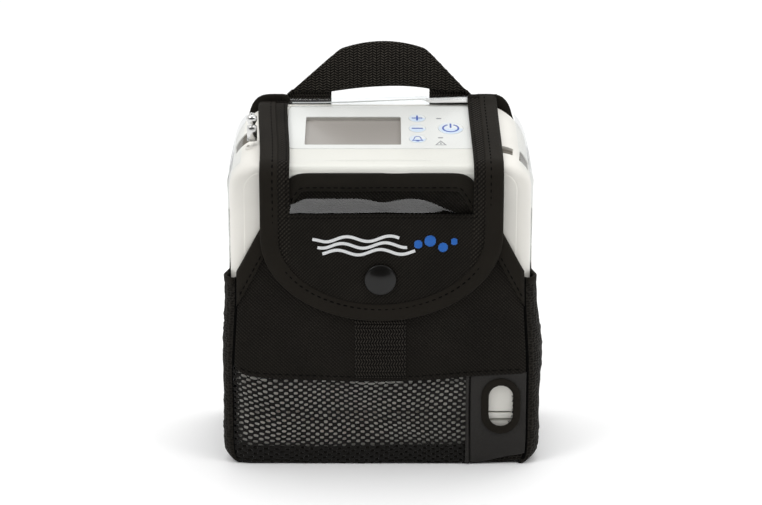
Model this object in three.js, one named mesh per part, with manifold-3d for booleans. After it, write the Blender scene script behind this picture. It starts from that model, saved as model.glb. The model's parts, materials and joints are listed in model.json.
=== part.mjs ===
// Portable oxygen concentrator standing in its soft carry bag.
// Millimetres, +X to the right of someone facing the front, -Y towards them, +Z up.
// The origin is the middle of the bag's flat underside.
import * as THREE from 'three';
import { mergeVertices } from 'three/addons/utils/BufferGeometryUtils.js';
import Module from 'manifold-3d';

const wasm = await Module();
wasm.setup();

// ---- driving dimensions -------------------------------------------------------------

const GAP = 0.3; // between neighbouring pieces

// Concentrator casing
const CASE_HALF_W = 75;
const CASE_HALF_D = 34;
const CASE_WALL = 2.2;
const CASE_BOTTOM_Z = 26.4;
const CASE_FRONT_TOP_Z = 153.5;
const CASE_REAR_TOP_Z = 168.5;
const CASE_SHOULDER_R = 21;
const CASE_SHOULDER_Z = CASE_REAR_TOP_Z - CASE_SHOULDER_R;
const CASE_PLAN_R = 10;
const CASE_FRONT_ROLL_R = 8;
const CASE_REAR_ROLL_R = 2.4;
const COVER_HALF_W = 66;
const COVER_TOP_Z = 150;
const COVER_CORNER_R = 9;
const PAST = 5; // how far a cutting tool reaches past what it cuts
const VENT = { angles: [24, 60], w: 7.5, d: 6, y: -20, wallDepth: 10 };

// Sloped control panel, in its own frame: U runs up the slope, N stands off it
const PANEL_TILT = Math.atan2(CASE_REAR_TOP_Z - CASE_FRONT_TOP_Z, 2 * CASE_HALF_D);
const OVERLAY = { x: 0.9, u: 43, w: 95, l: 48, r: 5, depth: 0.7, pocket: 1 };
const LCD = { x: -13.4, u: 36.8, w: 47, l: 28.5, frame: 2.5, top: -2.5, depth: 1.4 };
const SMALL_KEY_R = 4.2;
const POWER_KEY_R = 6.2;
const KEYS = [
  { name: 'key_plus', x: 18.4, u: 52.2, r: SMALL_KEY_R },
  { name: 'key_minus', x: 18.4, u: 40.9, r: SMALL_KEY_R },
  { name: 'key_bell', x: 18.4, u: 29.7, r: SMALL_KEY_R },
  { name: 'key_power', x: 35, u: 41, r: POWER_KEY_R },
];
const KEY_CLEARANCE = 0.35;
const KEY_TOP_N = 0.35;
const KEY_FLANGE_N = -2.6;
const KEY_FLANGE_H = 0.6;
const KEY_FLANGE_RIM = 0.8;
const KEY_EDGE = 0.4;
const DISPLAY_BOARD = { x0: -44, x1: 46, u0: 17, u1: 62, top: -4.2, h: 1.6, r: 2 };
const PANEL_CUT_N = -6;

// Outlet nozzle on the left shoulder
const NOZZLE = { x: -63.8, y: -10, stemR: 2.25, ballR: 3, boreR: 1.2, bottom: 160.5, top: 174.2 };
const NOZZLE_SEAT = { r: 4, bottom: 150, top: NOZZLE.bottom - GAP };
const NOZZLE_FLANGE = { rim: 1, h: 1.2, fillet: 0.5 };

// Battery and the tray above it
const TRAY = { bottom: 22.9, top: 26.1 };
const BATTERY = { bottom: 3.4, top: 22.6, wall: 1.4 };
const CELL = { r: 8.8, length: 64, pitch: 17.5, rows: 3, columns: 2, floorGap: 0.15, endGap: 2 };
const CELL_LINK = { halfW: 6, halfD: 20, halfH: 3 };

const LATCH = { halfW: 12, bottom: 31, top: 41, travel: 3, y: 33.6, depth: 1.2, r: 1.2 };
const LATCH_TONGUE = { halfW: 7, reach: 6, from: 1, to: 4 };

// Power inlet, low on the right side
const JACK = { r: 4.4, bore: 3, pin: 1, y: -20, z: 38, inner: 62, outer: 74.6, floor: 2.5, pinInset: 0.8 };

// Bag
const CLOTH = 1.6;
const BASE_H = 3;
const BAG_FRONT_Y = -36;
const BAG_BACK_Y = 36.6;
const BAG_BACK_CLOTH = 2;
const BAG_HALF_W = 78;
const BAG_CORNER_R = 8.4;
const SEAM_X = 70.2;
const GUSSET_TOP_Z = 100.5;
const MESH_TOP_Z = 47.3;
const MESH_RECESS = 0.4;
const PATCH_LEFT_X = 41.3;
const BIB_TOP_Z = 151;
const BACK_TOP_Z = 169.4;
const PORT = { x: 59.5, z: 31, w: 12.5, h: 21, rim: 3, stand: 1.2 };
const STRIP = { w: 25, top: 108, stand: 1 };
const PIPING = { r: 1.2, stand: 1.6, offset: 0.4 };
// Right-hand edges of the bib and the back panel, upwards
const BIB_EDGE = [[SEAM_X, GUSSET_TOP_Z], [46.5, 143.5], [43.5, 148.5], [38, BIB_TOP_Z]];
const BACK_EDGE = [[BAG_HALF_W, 105], [66, 160], [66, 164], [64.5, 167.5], [61, BACK_TOP_Z]];
const BIB_TAPE_INNER = [[42, 138], [36, BIB_TOP_Z - 8]];
const BIB_TAPE = { sideInset: 1.4, bottom: 92, stand: 0.8 };
const SIDE_FILM = { arcDegrees: 45, clearance: 0.8, frontY: -26 };

// Flap
const FLAP_HALF_W = 59.5;
const FLAP_CLOTH = 1.4;
const FLAP_LIFT_N = 0.9;
const FLAP_FRONT_Y = -38.8;
const FLAP_TOP_Z = 154.6;
const FLAP_CURVE_Z = 120;
const FLAP_BOTTOM_Z = 77;
const FLAP_U = { front: -1.6, rear: 71.6 };
const WINDOW_HALF_W = 45.5;
const WINDOW_BOTTOM_Z = 131;
const WINDOW_REAR_U = 68.3;
const VINYL = 0.8;
const BINDING_W = 8;
const BINDING_STAND = 0.8;
const SNAP = { z: 98, capR: 7.75, capH: 2.4, studR: 2, studH: 2, ringR: 4.9, mouthR: 4.2, holeR: 5.2 };

// Handle of folded webbing
const HANDLE = { outerX: 49.5, innerX: 25, bottom: 170.2, kneeX: 21, kneeZ: 196.5, top: 199.5 };
const HANDLE_BAND_Z = 174.6;
const HANDLE_BAND_RISE = 2;
const HANDLE_Y = 37.6;
const HANDLE_CLOTH = 2;
const HANDLE_TAIL_BOTTOM_Z = 138;
const HANDLE_EDGE_H = 1.5;
const HANDLE_TAIL_GAP = 0.6;

// Compressor, upright crank axis
const MOUNT = { r: 21, bore: 8, bottom: TRAY.top + GAP, top: 35.6 };
const CRANK = { x: 25, y: 0, shaftR: 3, bottom: 36.6, top: 111, throwR: 8, offset: 2.5 };
const STATOR = { r: 19, bore: 14, bottom: 38, top: 63.5 };
const BLOCK = { half: 17, bottom: 66, top: 104, wall: 3, cylinderZ: 85, reach: 31 };
const PISTON = { r: 8, bore: 8.3, length: 8, face: 28, rodEnd: 14 };
const PISTON_LINK = 3;
const HEAD = { half: 13, depth: 5.6, r: 3 };

// Air path
const COLUMN = { x: -52, y: 15, r: 13.5, bottom: 36, top: 140, chamfer: 3 };
const MANIFOLD = { x0: -66, x1: -38, halfD: 29, h: 5.7, r: 6 };
const VALVES = { x0: -68, x1: -21, halfD: 29, r: 4, bottom: TRAY.top + GAP };
const SOLENOID = { x: -28, r: 5.2, bottom: 30, top: 58, pitch: 12, count: 4 };
const TANK = { x: -25, y: 18, r: 10, bottom: 66, top: 138, chamfer: 3 };
const FILTER = { x0: 63, x1: 70.5, y0: -24, y1: -4, z0: 108, z1: 132 };
const FAN = { x: 42, y: 23, z: 136, half: 20, depth: 10, bore: 18.4, r: 3, blades: 7 };
const FAN_HUB = { r: 7.5, front: 0.8, rear: 1.8 };
const FAN_BLADE = { tip: 17.4, root: 6.5, halfChord: 2.4, halfT: 0.6, pitchDegrees: 35 };
const FAN_SPIDER = { halfH: 1.5, depth: 1.2 };

// Main board behind the front cover, with its four tallest parts as [x0, z0, x1, z1, rear Y]
const MAIN_BOARD = { x0: -34, x1: 58, z0: 62, z1: 144, frontY: -30.6, h: 1.6, r: 2 };
const BOARD_PARTS = {
  heatSink: [-28, 110, -8, 132, -24],
  inductor: [2, 118, 16, 136, -22.5],
  driver: [24, 112, 50, 128, -25.5],
  connector: [-26, 74, -18, 100, -22],
};

// ---- materials ----------------------------------------------------------------------

function finish(colour, roughness, metalness = 0) {
  return () => new THREE.MeshStandardMaterial({ color: colour, roughness, metalness });
}

const twill = finish(0x1e1c19, 0.9);
const meshCloth = finish(0x191816, 0.95);
const grainCloth = finish(0x2a2825, 0.7);
const binding = finish(0x2e2c2a, 0.75);
const webbing = finish(0x171614, 0.85);
const whitePlastic = finish(0xe8e7e0, 0.45);
const greyPlastic = finish(0xb9b8b2, 0.5);
const blackPlastic = finish(0x1a1a1b, 0.25);
const keyPlastic = finish(0xdfe4ec, 0.5);
const lcdGlass = finish(0xa59e94, 0.2);
const boardGreen = finish(0x1f5a35, 0.5);
const cellBlue = finish(0x2f5f9e, 0.45);
const foam = finish(0x3c3c3c, 0.95);
const steel = finish(0xc4c6c8, 0.25, 1);
const aluminium = finish(0xaeb1b3, 0.4, 1);
const copper = finish(0x9a5a35, 0.45, 1);

function clearVinyl() {
  return new THREE.MeshStandardMaterial({
    color: 0xdfe6ea,
    roughness: 0.1,
    metalness: 0,
    transparent: true,
    opacity: 0.3,
  });
}

// ---- solids and booleans ------------------------------------------------------------

function toSolid(geometry) {
  const bare = geometry.clone();
  bare.deleteAttribute('normal');
  bare.deleteAttribute('uv');
  const merged = mergeVertices(bare, 1e-4);
  return new wasm.Manifold(new wasm.Mesh({
    numProp: 3,
    vertProperties: Float32Array.from(merged.attributes.position.array),
    triVerts: Uint32Array.from(merged.index.array),
  }));
}

function toGeometry(solid) {
  const mesh = solid.getMesh();
  const geometry = new THREE.BufferGeometry();
  geometry.setAttribute('position', new THREE.BufferAttribute(mesh.vertProperties, mesh.numProp));
  geometry.setIndex(new THREE.BufferAttribute(mesh.triVerts, 1));
  geometry.computeVertexNormals();
  return geometry;
}

function cut(base, ...tools) {
  return toGeometry(tools.reduce((solid, tool) => solid.subtract(toSolid(tool)), toSolid(base)));
}

function join(base, ...others) {
  return toGeometry(others.reduce((solid, other) => solid.add(toSolid(other)), toSolid(base)));
}

function overlap(base, ...others) {
  return toGeometry(others.reduce((solid, other) => solid.intersect(toSolid(other)), toSolid(base)));
}

// ---- shapes -------------------------------------------------------------------------

const SHARP_R = 0.5; // corners that are barely rounded

// Rectangle from (x0, y0) to (x1, y1) with its lower and upper corners rounded.
function roundedRect(x0, y0, x1, y1, lowerR, upperR = lowerR) {
  const shape = new THREE.Shape();
  shape.moveTo(x0 + lowerR, y0);
  shape.lineTo(x1 - lowerR, y0);
  shape.absarc(x1 - lowerR, y0 + lowerR, lowerR, -Math.PI / 2, 0, false);
  shape.lineTo(x1, y1 - upperR);
  shape.absarc(x1 - upperR, y1 - upperR, upperR, 0, Math.PI / 2, false);
  shape.lineTo(x0 + upperR, y1);
  shape.absarc(x0 + upperR, y1 - upperR, upperR, Math.PI / 2, Math.PI, false);
  shape.lineTo(x0, y0 + lowerR);
  shape.absarc(x0 + lowerR, y0 + lowerR, lowerR, Math.PI, 1.5 * Math.PI, false);
  return shape;
}

// Closed outline from its right-hand edge, given upwards, and that edge's mirror image.
function mirrored(edge) {
  return polygon([...edge, ...edge.map(([x, y]) => [-x, y]).reverse()]);
}

function polygon(points) {
  return new THREE.Shape(points.map(([x, y]) => new THREE.Vector2(x, y)));
}

function extruded(shape, depth, curveSegments = 6) {
  return new THREE.ExtrudeGeometry(shape, { depth, bevelEnabled: false, curveSegments });
}

// Shape drawn in X and Y, raised from bottom to top.
function raised(shape, bottom, top, curveSegments) {
  return extruded(shape, top - bottom, curveSegments).translate(0, 0, bottom);
}

// Shape drawn in X and Z, reaching from the front face back.
function upright(shape, frontY, backY, curveSegments) {
  return extruded(shape, backY - frontY, curveSegments).rotateX(Math.PI / 2).translate(0, backY, 0);
}

// Shape drawn in Y and Z, reaching from x0 to x1.
function sideways(shape, x0, x1, curveSegments) {
  const turn = new THREE.Matrix4().makeBasis(
    new THREE.Vector3(0, 1, 0),
    new THREE.Vector3(0, 0, 1),
    new THREE.Vector3(1, 0, 0),
  );
  return extruded(shape, x1 - x0, curveSegments).applyMatrix4(turn).translate(x0, 0, 0);
}

function box(x0, y0, z0, x1, y1, z1) {
  const size = new THREE.BoxGeometry(x1 - x0, y1 - y0, z1 - z0);
  return size.translate((x0 + x1) / 2, (y0 + y1) / 2, (z0 + z1) / 2);
}

function rod(radius, bottom, top, segments = 24) {
  const geometry = new THREE.CylinderGeometry(radius, radius, top - bottom, segments);
  return geometry.rotateX(Math.PI / 2).translate(0, 0, (bottom + top) / 2);
}

function rodAlongX(radius, x0, x1, segments = 24) {
  return rod(radius, x0, x1, segments).rotateY(Math.PI / 2);
}

function rodAlongY(radius, y0, y1, segments = 24) {
  return rod(radius, -y1, -y0, segments).rotateX(Math.PI / 2);
}

// Profile of [radius, height] pairs turned about +Z.
function turned(profile, segments = 24) {
  const points = profile.map(([r, z]) => new THREE.Vector2(r, z));
  return new THREE.LatheGeometry(points, segments).rotateX(Math.PI / 2);
}

// ---- the assembly -------------------------------------------------------------------

const group = new THREE.Group();
const panel = new THREE.Group();
panel.position.set(0, -CASE_HALF_D, CASE_FRONT_TOP_Z);
panel.rotation.x = PANEL_TILT;
group.add(panel);

function add(name, geometry, material, parent = group) {
  const mesh = new THREE.Mesh(geometry, material());
  mesh.name = name;
  parent.add(mesh);
  return mesh;
}

// Moves geometry made in the panel's frame into the object's frame.
function fromPanel(geometry) {
  panel.updateMatrix();
  return geometry.applyMatrix4(panel.matrix);
}

// ---- casing -------------------------------------------------------------------------

// The casing's outer form, shrunk by an inset: front outline, side outline and plan crossed.
function caseForm(inset, bottom) {
  const halfW = CASE_HALF_W - inset;
  const halfD = CASE_HALF_D - inset;
  const highest = CASE_REAR_TOP_Z - inset;
  const shoulderR = CASE_SHOULDER_R - inset;
  const drop = inset / Math.cos(PANEL_TILT);
  const slopeAt = (y) => CASE_FRONT_TOP_Z + Math.tan(PANEL_TILT) * (y + CASE_HALF_D) - drop;
  const frontRoll = CASE_FRONT_ROLL_R - inset;
  const rearRoll = CASE_REAR_ROLL_R - inset;
  const side = new THREE.Shape();
  side.moveTo(-halfD, bottom);
  side.lineTo(halfD, bottom);
  side.lineTo(halfD, slopeAt(halfD) - rearRoll);
  side.quadraticCurveTo(halfD, slopeAt(halfD), halfD - rearRoll, slopeAt(halfD - rearRoll));
  side.lineTo(-halfD + frontRoll, slopeAt(-halfD + frontRoll));
  side.quadraticCurveTo(-halfD, slopeAt(-halfD), -halfD, slopeAt(-halfD) - frontRoll);
  side.closePath();
  const front = roundedRect(-halfW, bottom - 1, halfW, highest, SHARP_R, shoulderR);
  const plan = roundedRect(-halfW, -halfD, halfW, halfD, CASE_PLAN_R - inset);
  return overlap(
    sideways(side, -halfW - 1, halfW + 1, 6),
    upright(front, -halfD - 1, halfD + 1, 8),
    raised(plan, bottom - 2, highest + 2, 6),
  );
}

// Outline of the flat front and rear covers, grown by a margin.
function coverBlock(margin, y0, y1) {
  const halfW = COVER_HALF_W + margin;
  const top = COVER_TOP_Z + margin;
  const shape = roundedRect(-halfW, CASE_BOTTOM_Z - 3, halfW, top, SHARP_R, COVER_CORNER_R);
  return upright(shape, y0, y1, 6);
}

// Two air slots across one shoulder.
function shoulderVents(side) {
  return VENT.angles.map((degrees) => {
    const height = VENT.wallDepth + 4;
    const slot = new THREE.BoxGeometry(VENT.w, VENT.d, height);
    slot.translate(0, VENT.y, CASE_SHOULDER_R + 4 - height / 2);
    slot.rotateY(side * THREE.MathUtils.degToRad(degrees));
    return slot.translate(side * (CASE_HALF_W - CASE_SHOULDER_R), 0, CASE_SHOULDER_Z);
  });
}

function panelHoles() {
  const { x, u, w, l, r, pocket } = OVERLAY;
  const recess = roundedRect(x - w / 2, u - l / 2, x + w / 2, u + l / 2, r);
  const view = box(
    LCD.x - LCD.w / 2, LCD.u - LCD.l / 2, PANEL_CUT_N,
    LCD.x + LCD.w / 2, LCD.u + LCD.l / 2, PAST,
  );
  const wells = KEYS.map((key) => (
    rod(key.r + KEY_CLEARANCE, PANEL_CUT_N, PAST).translate(key.x, key.u, 0)
  ));
  return [raised(recess, -pocket, PAST), view, ...wells].map(fromPanel);
}

function addCasing() {
  const shell = cut(caseForm(0, CASE_BOTTOM_Z), caseForm(CASE_WALL, CASE_BOTTOM_Z - PAST));
  const frontY = [-CASE_HALF_D - PAST, -CASE_HALF_D + CASE_FRONT_ROLL_R];
  const rearY = [CASE_HALF_D - CASE_REAR_ROLL_R, CASE_HALF_D + PAST];
  const { r, bottom, top } = NOZZLE_SEAT;
  const nozzleHole = rod(r + GAP, bottom - PAST, top + PAST).translate(NOZZLE.x, NOZZLE.y, 0);
  const jackHole = rodAlongX(JACK.r + GAP, JACK.inner - 2, JACK.outer + PAST).translate(0, JACK.y, JACK.z);
  const housing = cut(
    shell,
    coverBlock(GAP, ...frontY),
    coverBlock(GAP, ...rearY),
    ...shoulderVents(-1),
    ...shoulderVents(1),
    ...panelHoles(),
    nozzleHole,
    jackHole,
  );
  add('main_housing', housing, whitePlastic);
  add('front_cover', overlap(shell, coverBlock(0, ...frontY)), whitePlastic);
  add('rear_cover', cut(overlap(shell, coverBlock(0, ...rearY)), latchWindow()), whitePlastic);
}

// ---- control panel ------------------------------------------------------------------

function addControlPanel() {
  const { x, u, w, l, r, depth } = OVERLAY;
  const sheet = roundedRect(x - w / 2 + GAP, u - l / 2 + GAP, x + w / 2 - GAP, u + l / 2 - GAP, r - GAP);
  const view = roundedRect(
    LCD.x - LCD.w / 2, LCD.u - LCD.l / 2,
    LCD.x + LCD.w / 2, LCD.u + LCD.l / 2, SHARP_R,
  );
  sheet.holes.push(view);
  for (const key of KEYS) {
    const well = new THREE.Path();
    well.absarc(key.x, key.u, key.r + KEY_CLEARANCE, 0, 2 * Math.PI, true);
    sheet.holes.push(well);
  }
  add('control_overlay', raised(sheet, -depth, 0, 8), greyPlastic, panel);

  const { frame, top, depth: lcdDepth } = LCD;
  const lcd = box(
    LCD.x - LCD.w / 2 - frame, LCD.u - LCD.l / 2 - frame, top - lcdDepth,
    LCD.x + LCD.w / 2 + frame, LCD.u + LCD.l / 2 + frame, top,
  );
  add('lcd_module', lcd, lcdGlass, panel);

  const { x0, x1, u0, u1, top: boardTop, h, r: boardR } = DISPLAY_BOARD;
  const board = roundedRect(x0, u0, x1, u1, boardR);
  add('display_board', raised(board, boardTop - h, boardTop, 3), boardGreen, panel);

  for (const key of KEYS) {
    const flangeR = key.r + KEY_FLANGE_RIM;
    const cap = turned([
      [0, KEY_FLANGE_N - KEY_FLANGE_H],
      [flangeR, KEY_FLANGE_N - KEY_FLANGE_H],
      [flangeR, KEY_FLANGE_N],
      [key.r, KEY_FLANGE_N],
      [key.r, KEY_TOP_N - KEY_EDGE],
      [key.r - KEY_EDGE, KEY_TOP_N],
      [0, KEY_TOP_N],
    ], 28);
    add(key.name, cap, keyPlastic, panel).position.set(key.x, key.u, 0);
  }
}

// ---- nozzle, power inlet, battery ---------------------------------------------------

function addNozzle() {
  const { boreR, ballR, stemR, bottom, top } = NOZZLE;
  const seat = cut(
    rod(NOZZLE_SEAT.r, NOZZLE_SEAT.bottom, NOZZLE_SEAT.top),
    rod(boreR, NOZZLE_SEAT.bottom - 1, NOZZLE_SEAT.top + 1, 12),
  ).translate(NOZZLE.x, NOZZLE.y, 0);
  add('nozzle_seat', seat, greyPlastic);
  const { rim, h, fillet } = NOZZLE_FLANGE;
  const neck = stemR - 0.35;
  const barb = turned([
    [boreR, bottom],
    [stemR + rim, bottom],
    [stemR + rim, bottom + h],
    [stemR, bottom + h + fillet],
    [stemR, top - 6.4],
    [neck, top - 6],
    [ballR, top - 4],
    [ballR, top - 2.6],
    [ballR - 1, top - 0.7],
    [boreR + 0.3, top],
    [boreR, top - 0.4],
    [boreR, bottom],
  ], 20).translate(NOZZLE.x, NOZZLE.y, 0);
  add('nozzle_barb', barb, steel);
}

function addPowerInlet() {
  const { r, bore, pin, y, z, inner, outer, floor, pinInset } = JACK;
  const barrel = cut(rodAlongX(r, inner, outer), rodAlongX(bore, inner + floor, outer + PAST));
  const jack = join(barrel, rodAlongX(pin, inner + floor / 2, outer - pinInset, 12));
  add('power_inlet', jack.translate(0, y, z), blackPlastic);
}

function addBattery() {
  const plan = roundedRect(-CASE_HALF_W, -CASE_HALF_D, CASE_HALF_W, CASE_HALF_D, CASE_PLAN_R);
  add('chassis_tray', raised(plan, TRAY.bottom, TRAY.top, 6), greyPlastic);
  const { bottom, top, wall } = BATTERY;
  const hollow = roundedRect(
    -CASE_HALF_W + wall, -CASE_HALF_D + wall,
    CASE_HALF_W - wall, CASE_HALF_D - wall, CASE_PLAN_R - wall,
  );
  const tub = cut(raised(plan, bottom, top, 6), raised(hollow, bottom + wall, top + 1, 6));
  add('battery_case', tub, whitePlastic);
  const cells = [];
  const centreZ = bottom + wall + CELL.r + CELL.floorGap;
  for (let row = 0; row < CELL.rows; row += 1) {
    for (let column = 0; column < CELL.columns; column += 1) {
      const start = (column - CELL.columns / 2) * (CELL.length + CELL.endGap) + CELL.endGap / 2;
      const y = (row - (CELL.rows - 1) / 2) * CELL.pitch;
      cells.push(rodAlongX(CELL.r, start, start + CELL.length, 20).translate(0, y, centreZ));
    }
  }
  const { halfW, halfD, halfH } = CELL_LINK;
  const link = box(-halfW, -halfD, centreZ - halfH, halfW, halfD, centreZ + halfH);
  add('battery_cells', join(link, ...cells), cellBlue);
}

// ---- battery latch ------------------------------------------------------------------

// Window in the rear cover with room for the latch and its travel.
function latchWindow() {
  const shape = roundedRect(
    -LATCH.halfW - GAP, LATCH.bottom - GAP,
    LATCH.halfW + GAP, LATCH.top + LATCH.travel + GAP, LATCH.r + GAP,
  );
  return upright(shape, CASE_HALF_D - 2 * CASE_WALL, CASE_HALF_D + PAST, 4);
}

function addLatch() {
  const { halfW, bottom, top, y, depth, r } = LATCH;
  const slider = upright(roundedRect(-halfW, bottom, halfW, top, r), y - depth, y, 4);
  const { halfW: tongueHalfW, reach, from, to } = LATCH_TONGUE;
  const tongue = box(-tongueHalfW, y - reach, bottom + from, tongueHalfW, y - depth + 0.2, bottom + to);
  add('battery_latch', join(slider, tongue), greyPlastic);
}

// ---- compressor ---------------------------------------------------------------------

function addCompressor() {
  const { x, y, shaftR, bottom, top, throwR, offset } = CRANK;
  const mount = cut(
    rod(MOUNT.r, MOUNT.bottom, MOUNT.top, 28),
    rod(MOUNT.bore, MOUNT.bottom - 1, MOUNT.top + 1, 20),
  ).translate(x, y, 0);
  add('compressor_mount', mount, foam);

  const stator = cut(
    rod(STATOR.r, STATOR.bottom, STATOR.top, 28),
    rod(STATOR.bore, STATOR.bottom - 1, STATOR.top + 1, 28),
  ).translate(x, y, 0);
  add('motor_stator', stator, copper);

  const { half, wall, cylinderZ, reach } = BLOCK;
  const block = cut(
    join(
      box(-half, -half, BLOCK.bottom, half, half, BLOCK.top),
      rodAlongX(PISTON.bore + 3, -reach, reach, 28).translate(0, 0, cylinderZ),
    ),
    box(-half + wall, -half + wall, BLOCK.bottom + wall, half - wall, half - wall, BLOCK.top - wall),
    rodAlongX(PISTON.bore, -reach - 1, reach + 1, 28).translate(0, 0, cylinderZ),
    rod(shaftR + GAP, BLOCK.bottom - 1, BLOCK.top + 1, 20),
  ).translate(x, y, 0);
  add('compressor_block', block, aluminium);

  const crank = join(
    rod(shaftR, bottom, top, 20),
    rod(STATOR.bore - 0.7, STATOR.bottom + 2, STATOR.top - 2, 28),
    rod(throwR, cylinderZ - 5, cylinderZ + 5, 24).translate(offset, 0, 0),
  ).translate(x, y, 0);
  add('crank_rotor', crank, steel);

  for (const [side, word] of [[-1, 'left'], [1, 'right']]) {
    const face = side * PISTON.face;
    const inner = side * (PISTON.face - PISTON.length);
    const rodEnd = side * PISTON.rodEnd;
    const crown = rodAlongX(PISTON.r, Math.min(face, inner), Math.max(face, inner), 28);
    const link = box(
      Math.min(inner, rodEnd) - 0.2, -PISTON_LINK, -PISTON_LINK,
      Math.max(inner, rodEnd) + 0.2, PISTON_LINK, PISTON_LINK,
    );
    add(`piston_${word}`, join(crown, link).translate(x, y, cylinderZ), aluminium);
    const near = side * (reach + GAP);
    const far = side * (reach + GAP + HEAD.depth);
    const head = sideways(
      roundedRect(-HEAD.half, cylinderZ - HEAD.half, HEAD.half, cylinderZ + HEAD.half, HEAD.r),
      Math.min(near, far), Math.max(near, far), 3,
    ).translate(x, 0, 0);
    add(`cylinder_head_${word}`, head, aluminium);
  }
}

// ---- air path -----------------------------------------------------------------------

function chamferedRod(radius, chamfer, bottom, top, segments) {
  return turned([
    [0, bottom], [radius - chamfer, bottom], [radius, bottom + chamfer],
    [radius, top - chamfer], [radius - chamfer, top], [0, top],
  ], segments);
}

function addAirPath() {
  const { x, y, r, bottom, top, chamfer } = COLUMN;
  for (const [side, word] of [[-1, 'front'], [1, 'rear']]) {
    const column = chamferedRod(r, chamfer, bottom, top, 28).translate(x, side * y, 0);
    add(`sieve_column_${word}`, column, aluminium);
  }
  const manifold = roundedRect(MANIFOLD.x0, -MANIFOLD.halfD, MANIFOLD.x1, MANIFOLD.halfD, MANIFOLD.r);
  add('column_manifold', raised(manifold, top + GAP, top + GAP + MANIFOLD.h, 4), greyPlastic);

  const solenoids = [...Array(SOLENOID.count).keys()].map((i) => {
    const solenoidY = (i - (SOLENOID.count - 1) / 2) * SOLENOID.pitch;
    return rod(SOLENOID.r, SOLENOID.bottom, SOLENOID.top, 18).translate(SOLENOID.x, solenoidY, 0);
  });
  const plate = roundedRect(VALVES.x0, -VALVES.halfD, VALVES.x1, VALVES.halfD, VALVES.r);
  add('valve_block', join(raised(plate, VALVES.bottom, bottom - GAP, 4), ...solenoids), greyPlastic);

  const tank = chamferedRod(TANK.r, TANK.chamfer, TANK.bottom, TANK.top, 24);
  add('product_tank', tank.translate(TANK.x, TANK.y, 0), aluminium);

  const { x0, y0, z0, x1, y1, z1 } = FILTER;
  add('intake_filter', box(x0, y0, z0, x1, y1, z1), foam);
}

function addFan() {
  const { x, y, z, half, depth, bore, r, blades } = FAN;
  const frame = cut(
    upright(roundedRect(-half, -half, half, half, r), -depth / 2, depth / 2, 3),
    rodAlongY(bore, -depth, depth, 36),
  );
  const { halfH, depth: spiderDepth } = FAN_SPIDER;
  const spider = box(
    -bore - 0.5, depth / 2 - spiderDepth, -halfH,
    bore + 0.5, depth / 2, halfH,
  );
  add('fan_housing', join(frame, spider).translate(x, y, z), blackPlastic);
  let rotor = rodAlongY(FAN_HUB.r, -depth / 2 + FAN_HUB.front, depth / 2 - FAN_HUB.rear, 24);
  const { tip, root, halfChord, halfT, pitchDegrees } = FAN_BLADE;
  for (let i = 0; i < blades; i += 1) {
    const vane = box(root, -halfChord, -halfT, tip, halfChord, halfT);
    vane.rotateX(THREE.MathUtils.degToRad(pitchDegrees));
    vane.rotateY((i / blades) * 2 * Math.PI);
    rotor = join(rotor, vane);
  }
  add('fan_rotor', rotor.translate(x, y, z), blackPlastic);
}

function addMainBoard() {
  const { x0, x1, z0, z1, frontY, h, r } = MAIN_BOARD;
  const sheet = upright(roundedRect(x0, z0, x1, z1, r), frontY, frontY + h, 3);
  const parts = Object.values(BOARD_PARTS).map(([px0, pz0, px1, pz1, rearY]) => (
    box(px0, frontY + h - 0.1, pz0, px1, rearY, pz1)
  ));
  add('main_board', join(sheet, ...parts), boardGreen);
}

// ---- bag body -----------------------------------------------------------------------

function addBagBody() {
  const basePlan = roundedRect(-BAG_HALF_W, BAG_FRONT_Y, BAG_HALF_W, BAG_BACK_Y, BAG_CORNER_R);
  add('bag_base', raised(basePlan, 0, BASE_H, 6), twill);

  const seamZ = BASE_H + GAP;
  const back = mirrored([[BAG_HALF_W, seamZ], ...BACK_EDGE]);
  add('bag_back_panel', upright(back, BAG_BACK_Y - BAG_BACK_CLOTH, BAG_BACK_Y), twill);

  const bib = mirrored([[SEAM_X, MESH_TOP_Z + GAP], ...BIB_EDGE]);
  add('bag_front_panel', upright(bib, BAG_FRONT_Y, BAG_FRONT_Y + CLOTH), twill);

  const lower = roundedRect(-SEAM_X, seamZ, PATCH_LEFT_X - GAP, MESH_TOP_Z, SHARP_R);
  add('front_mesh_panel', upright(lower, BAG_FRONT_Y + MESH_RECESS, BAG_FRONT_Y + CLOTH, 1), meshCloth);

  for (const [side, word] of [[-1, 'left'], [1, 'right']]) {
    add(`gusset_${word}`, gusset(side), twill);
    add(`side_window_${word}`, sideWindow(side), clearVinyl);
    const cord = rod(PIPING.r, BASE_H + GAP, GUSSET_TOP_Z, 10);
    cord.translate(side * (SEAM_X + PIPING.offset), BAG_FRONT_Y - PIPING.stand, 0);
    add(`seam_piping_${word}`, cord, binding);
  }
}

// Side wall of the bag: round the front corner and straight back.
function gusset(side) {
  const cx = BAG_HALF_W - BAG_CORNER_R;
  const cy = BAG_FRONT_Y + BAG_CORNER_R;
  const innerR = BAG_CORNER_R - CLOTH;
  const backY = BAG_BACK_Y - BAG_BACK_CLOTH - GAP;
  const arcSteps = 5;
  const start = Math.asin((SEAM_X + GAP - cx) / BAG_CORNER_R) - Math.PI / 2;
  const corner = (r, step) => {
    const angle = start * (1 - step / arcSteps);
    return [cx + r * Math.cos(angle), cy + r * Math.sin(angle)];
  };
  const steps = [...Array(arcSteps + 1).keys()];
  const outline = [
    ...steps.map((step) => corner(BAG_CORNER_R, step)),
    [BAG_HALF_W, backY],
    [BAG_HALF_W - CLOTH, backY],
    ...steps.reverse().map((step) => corner(innerR, step)),
  ];
  return raised(polygon(outline.map(([x, y]) => [side * x, y])), BASE_H + GAP, GUSSET_TOP_Z);
}

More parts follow.
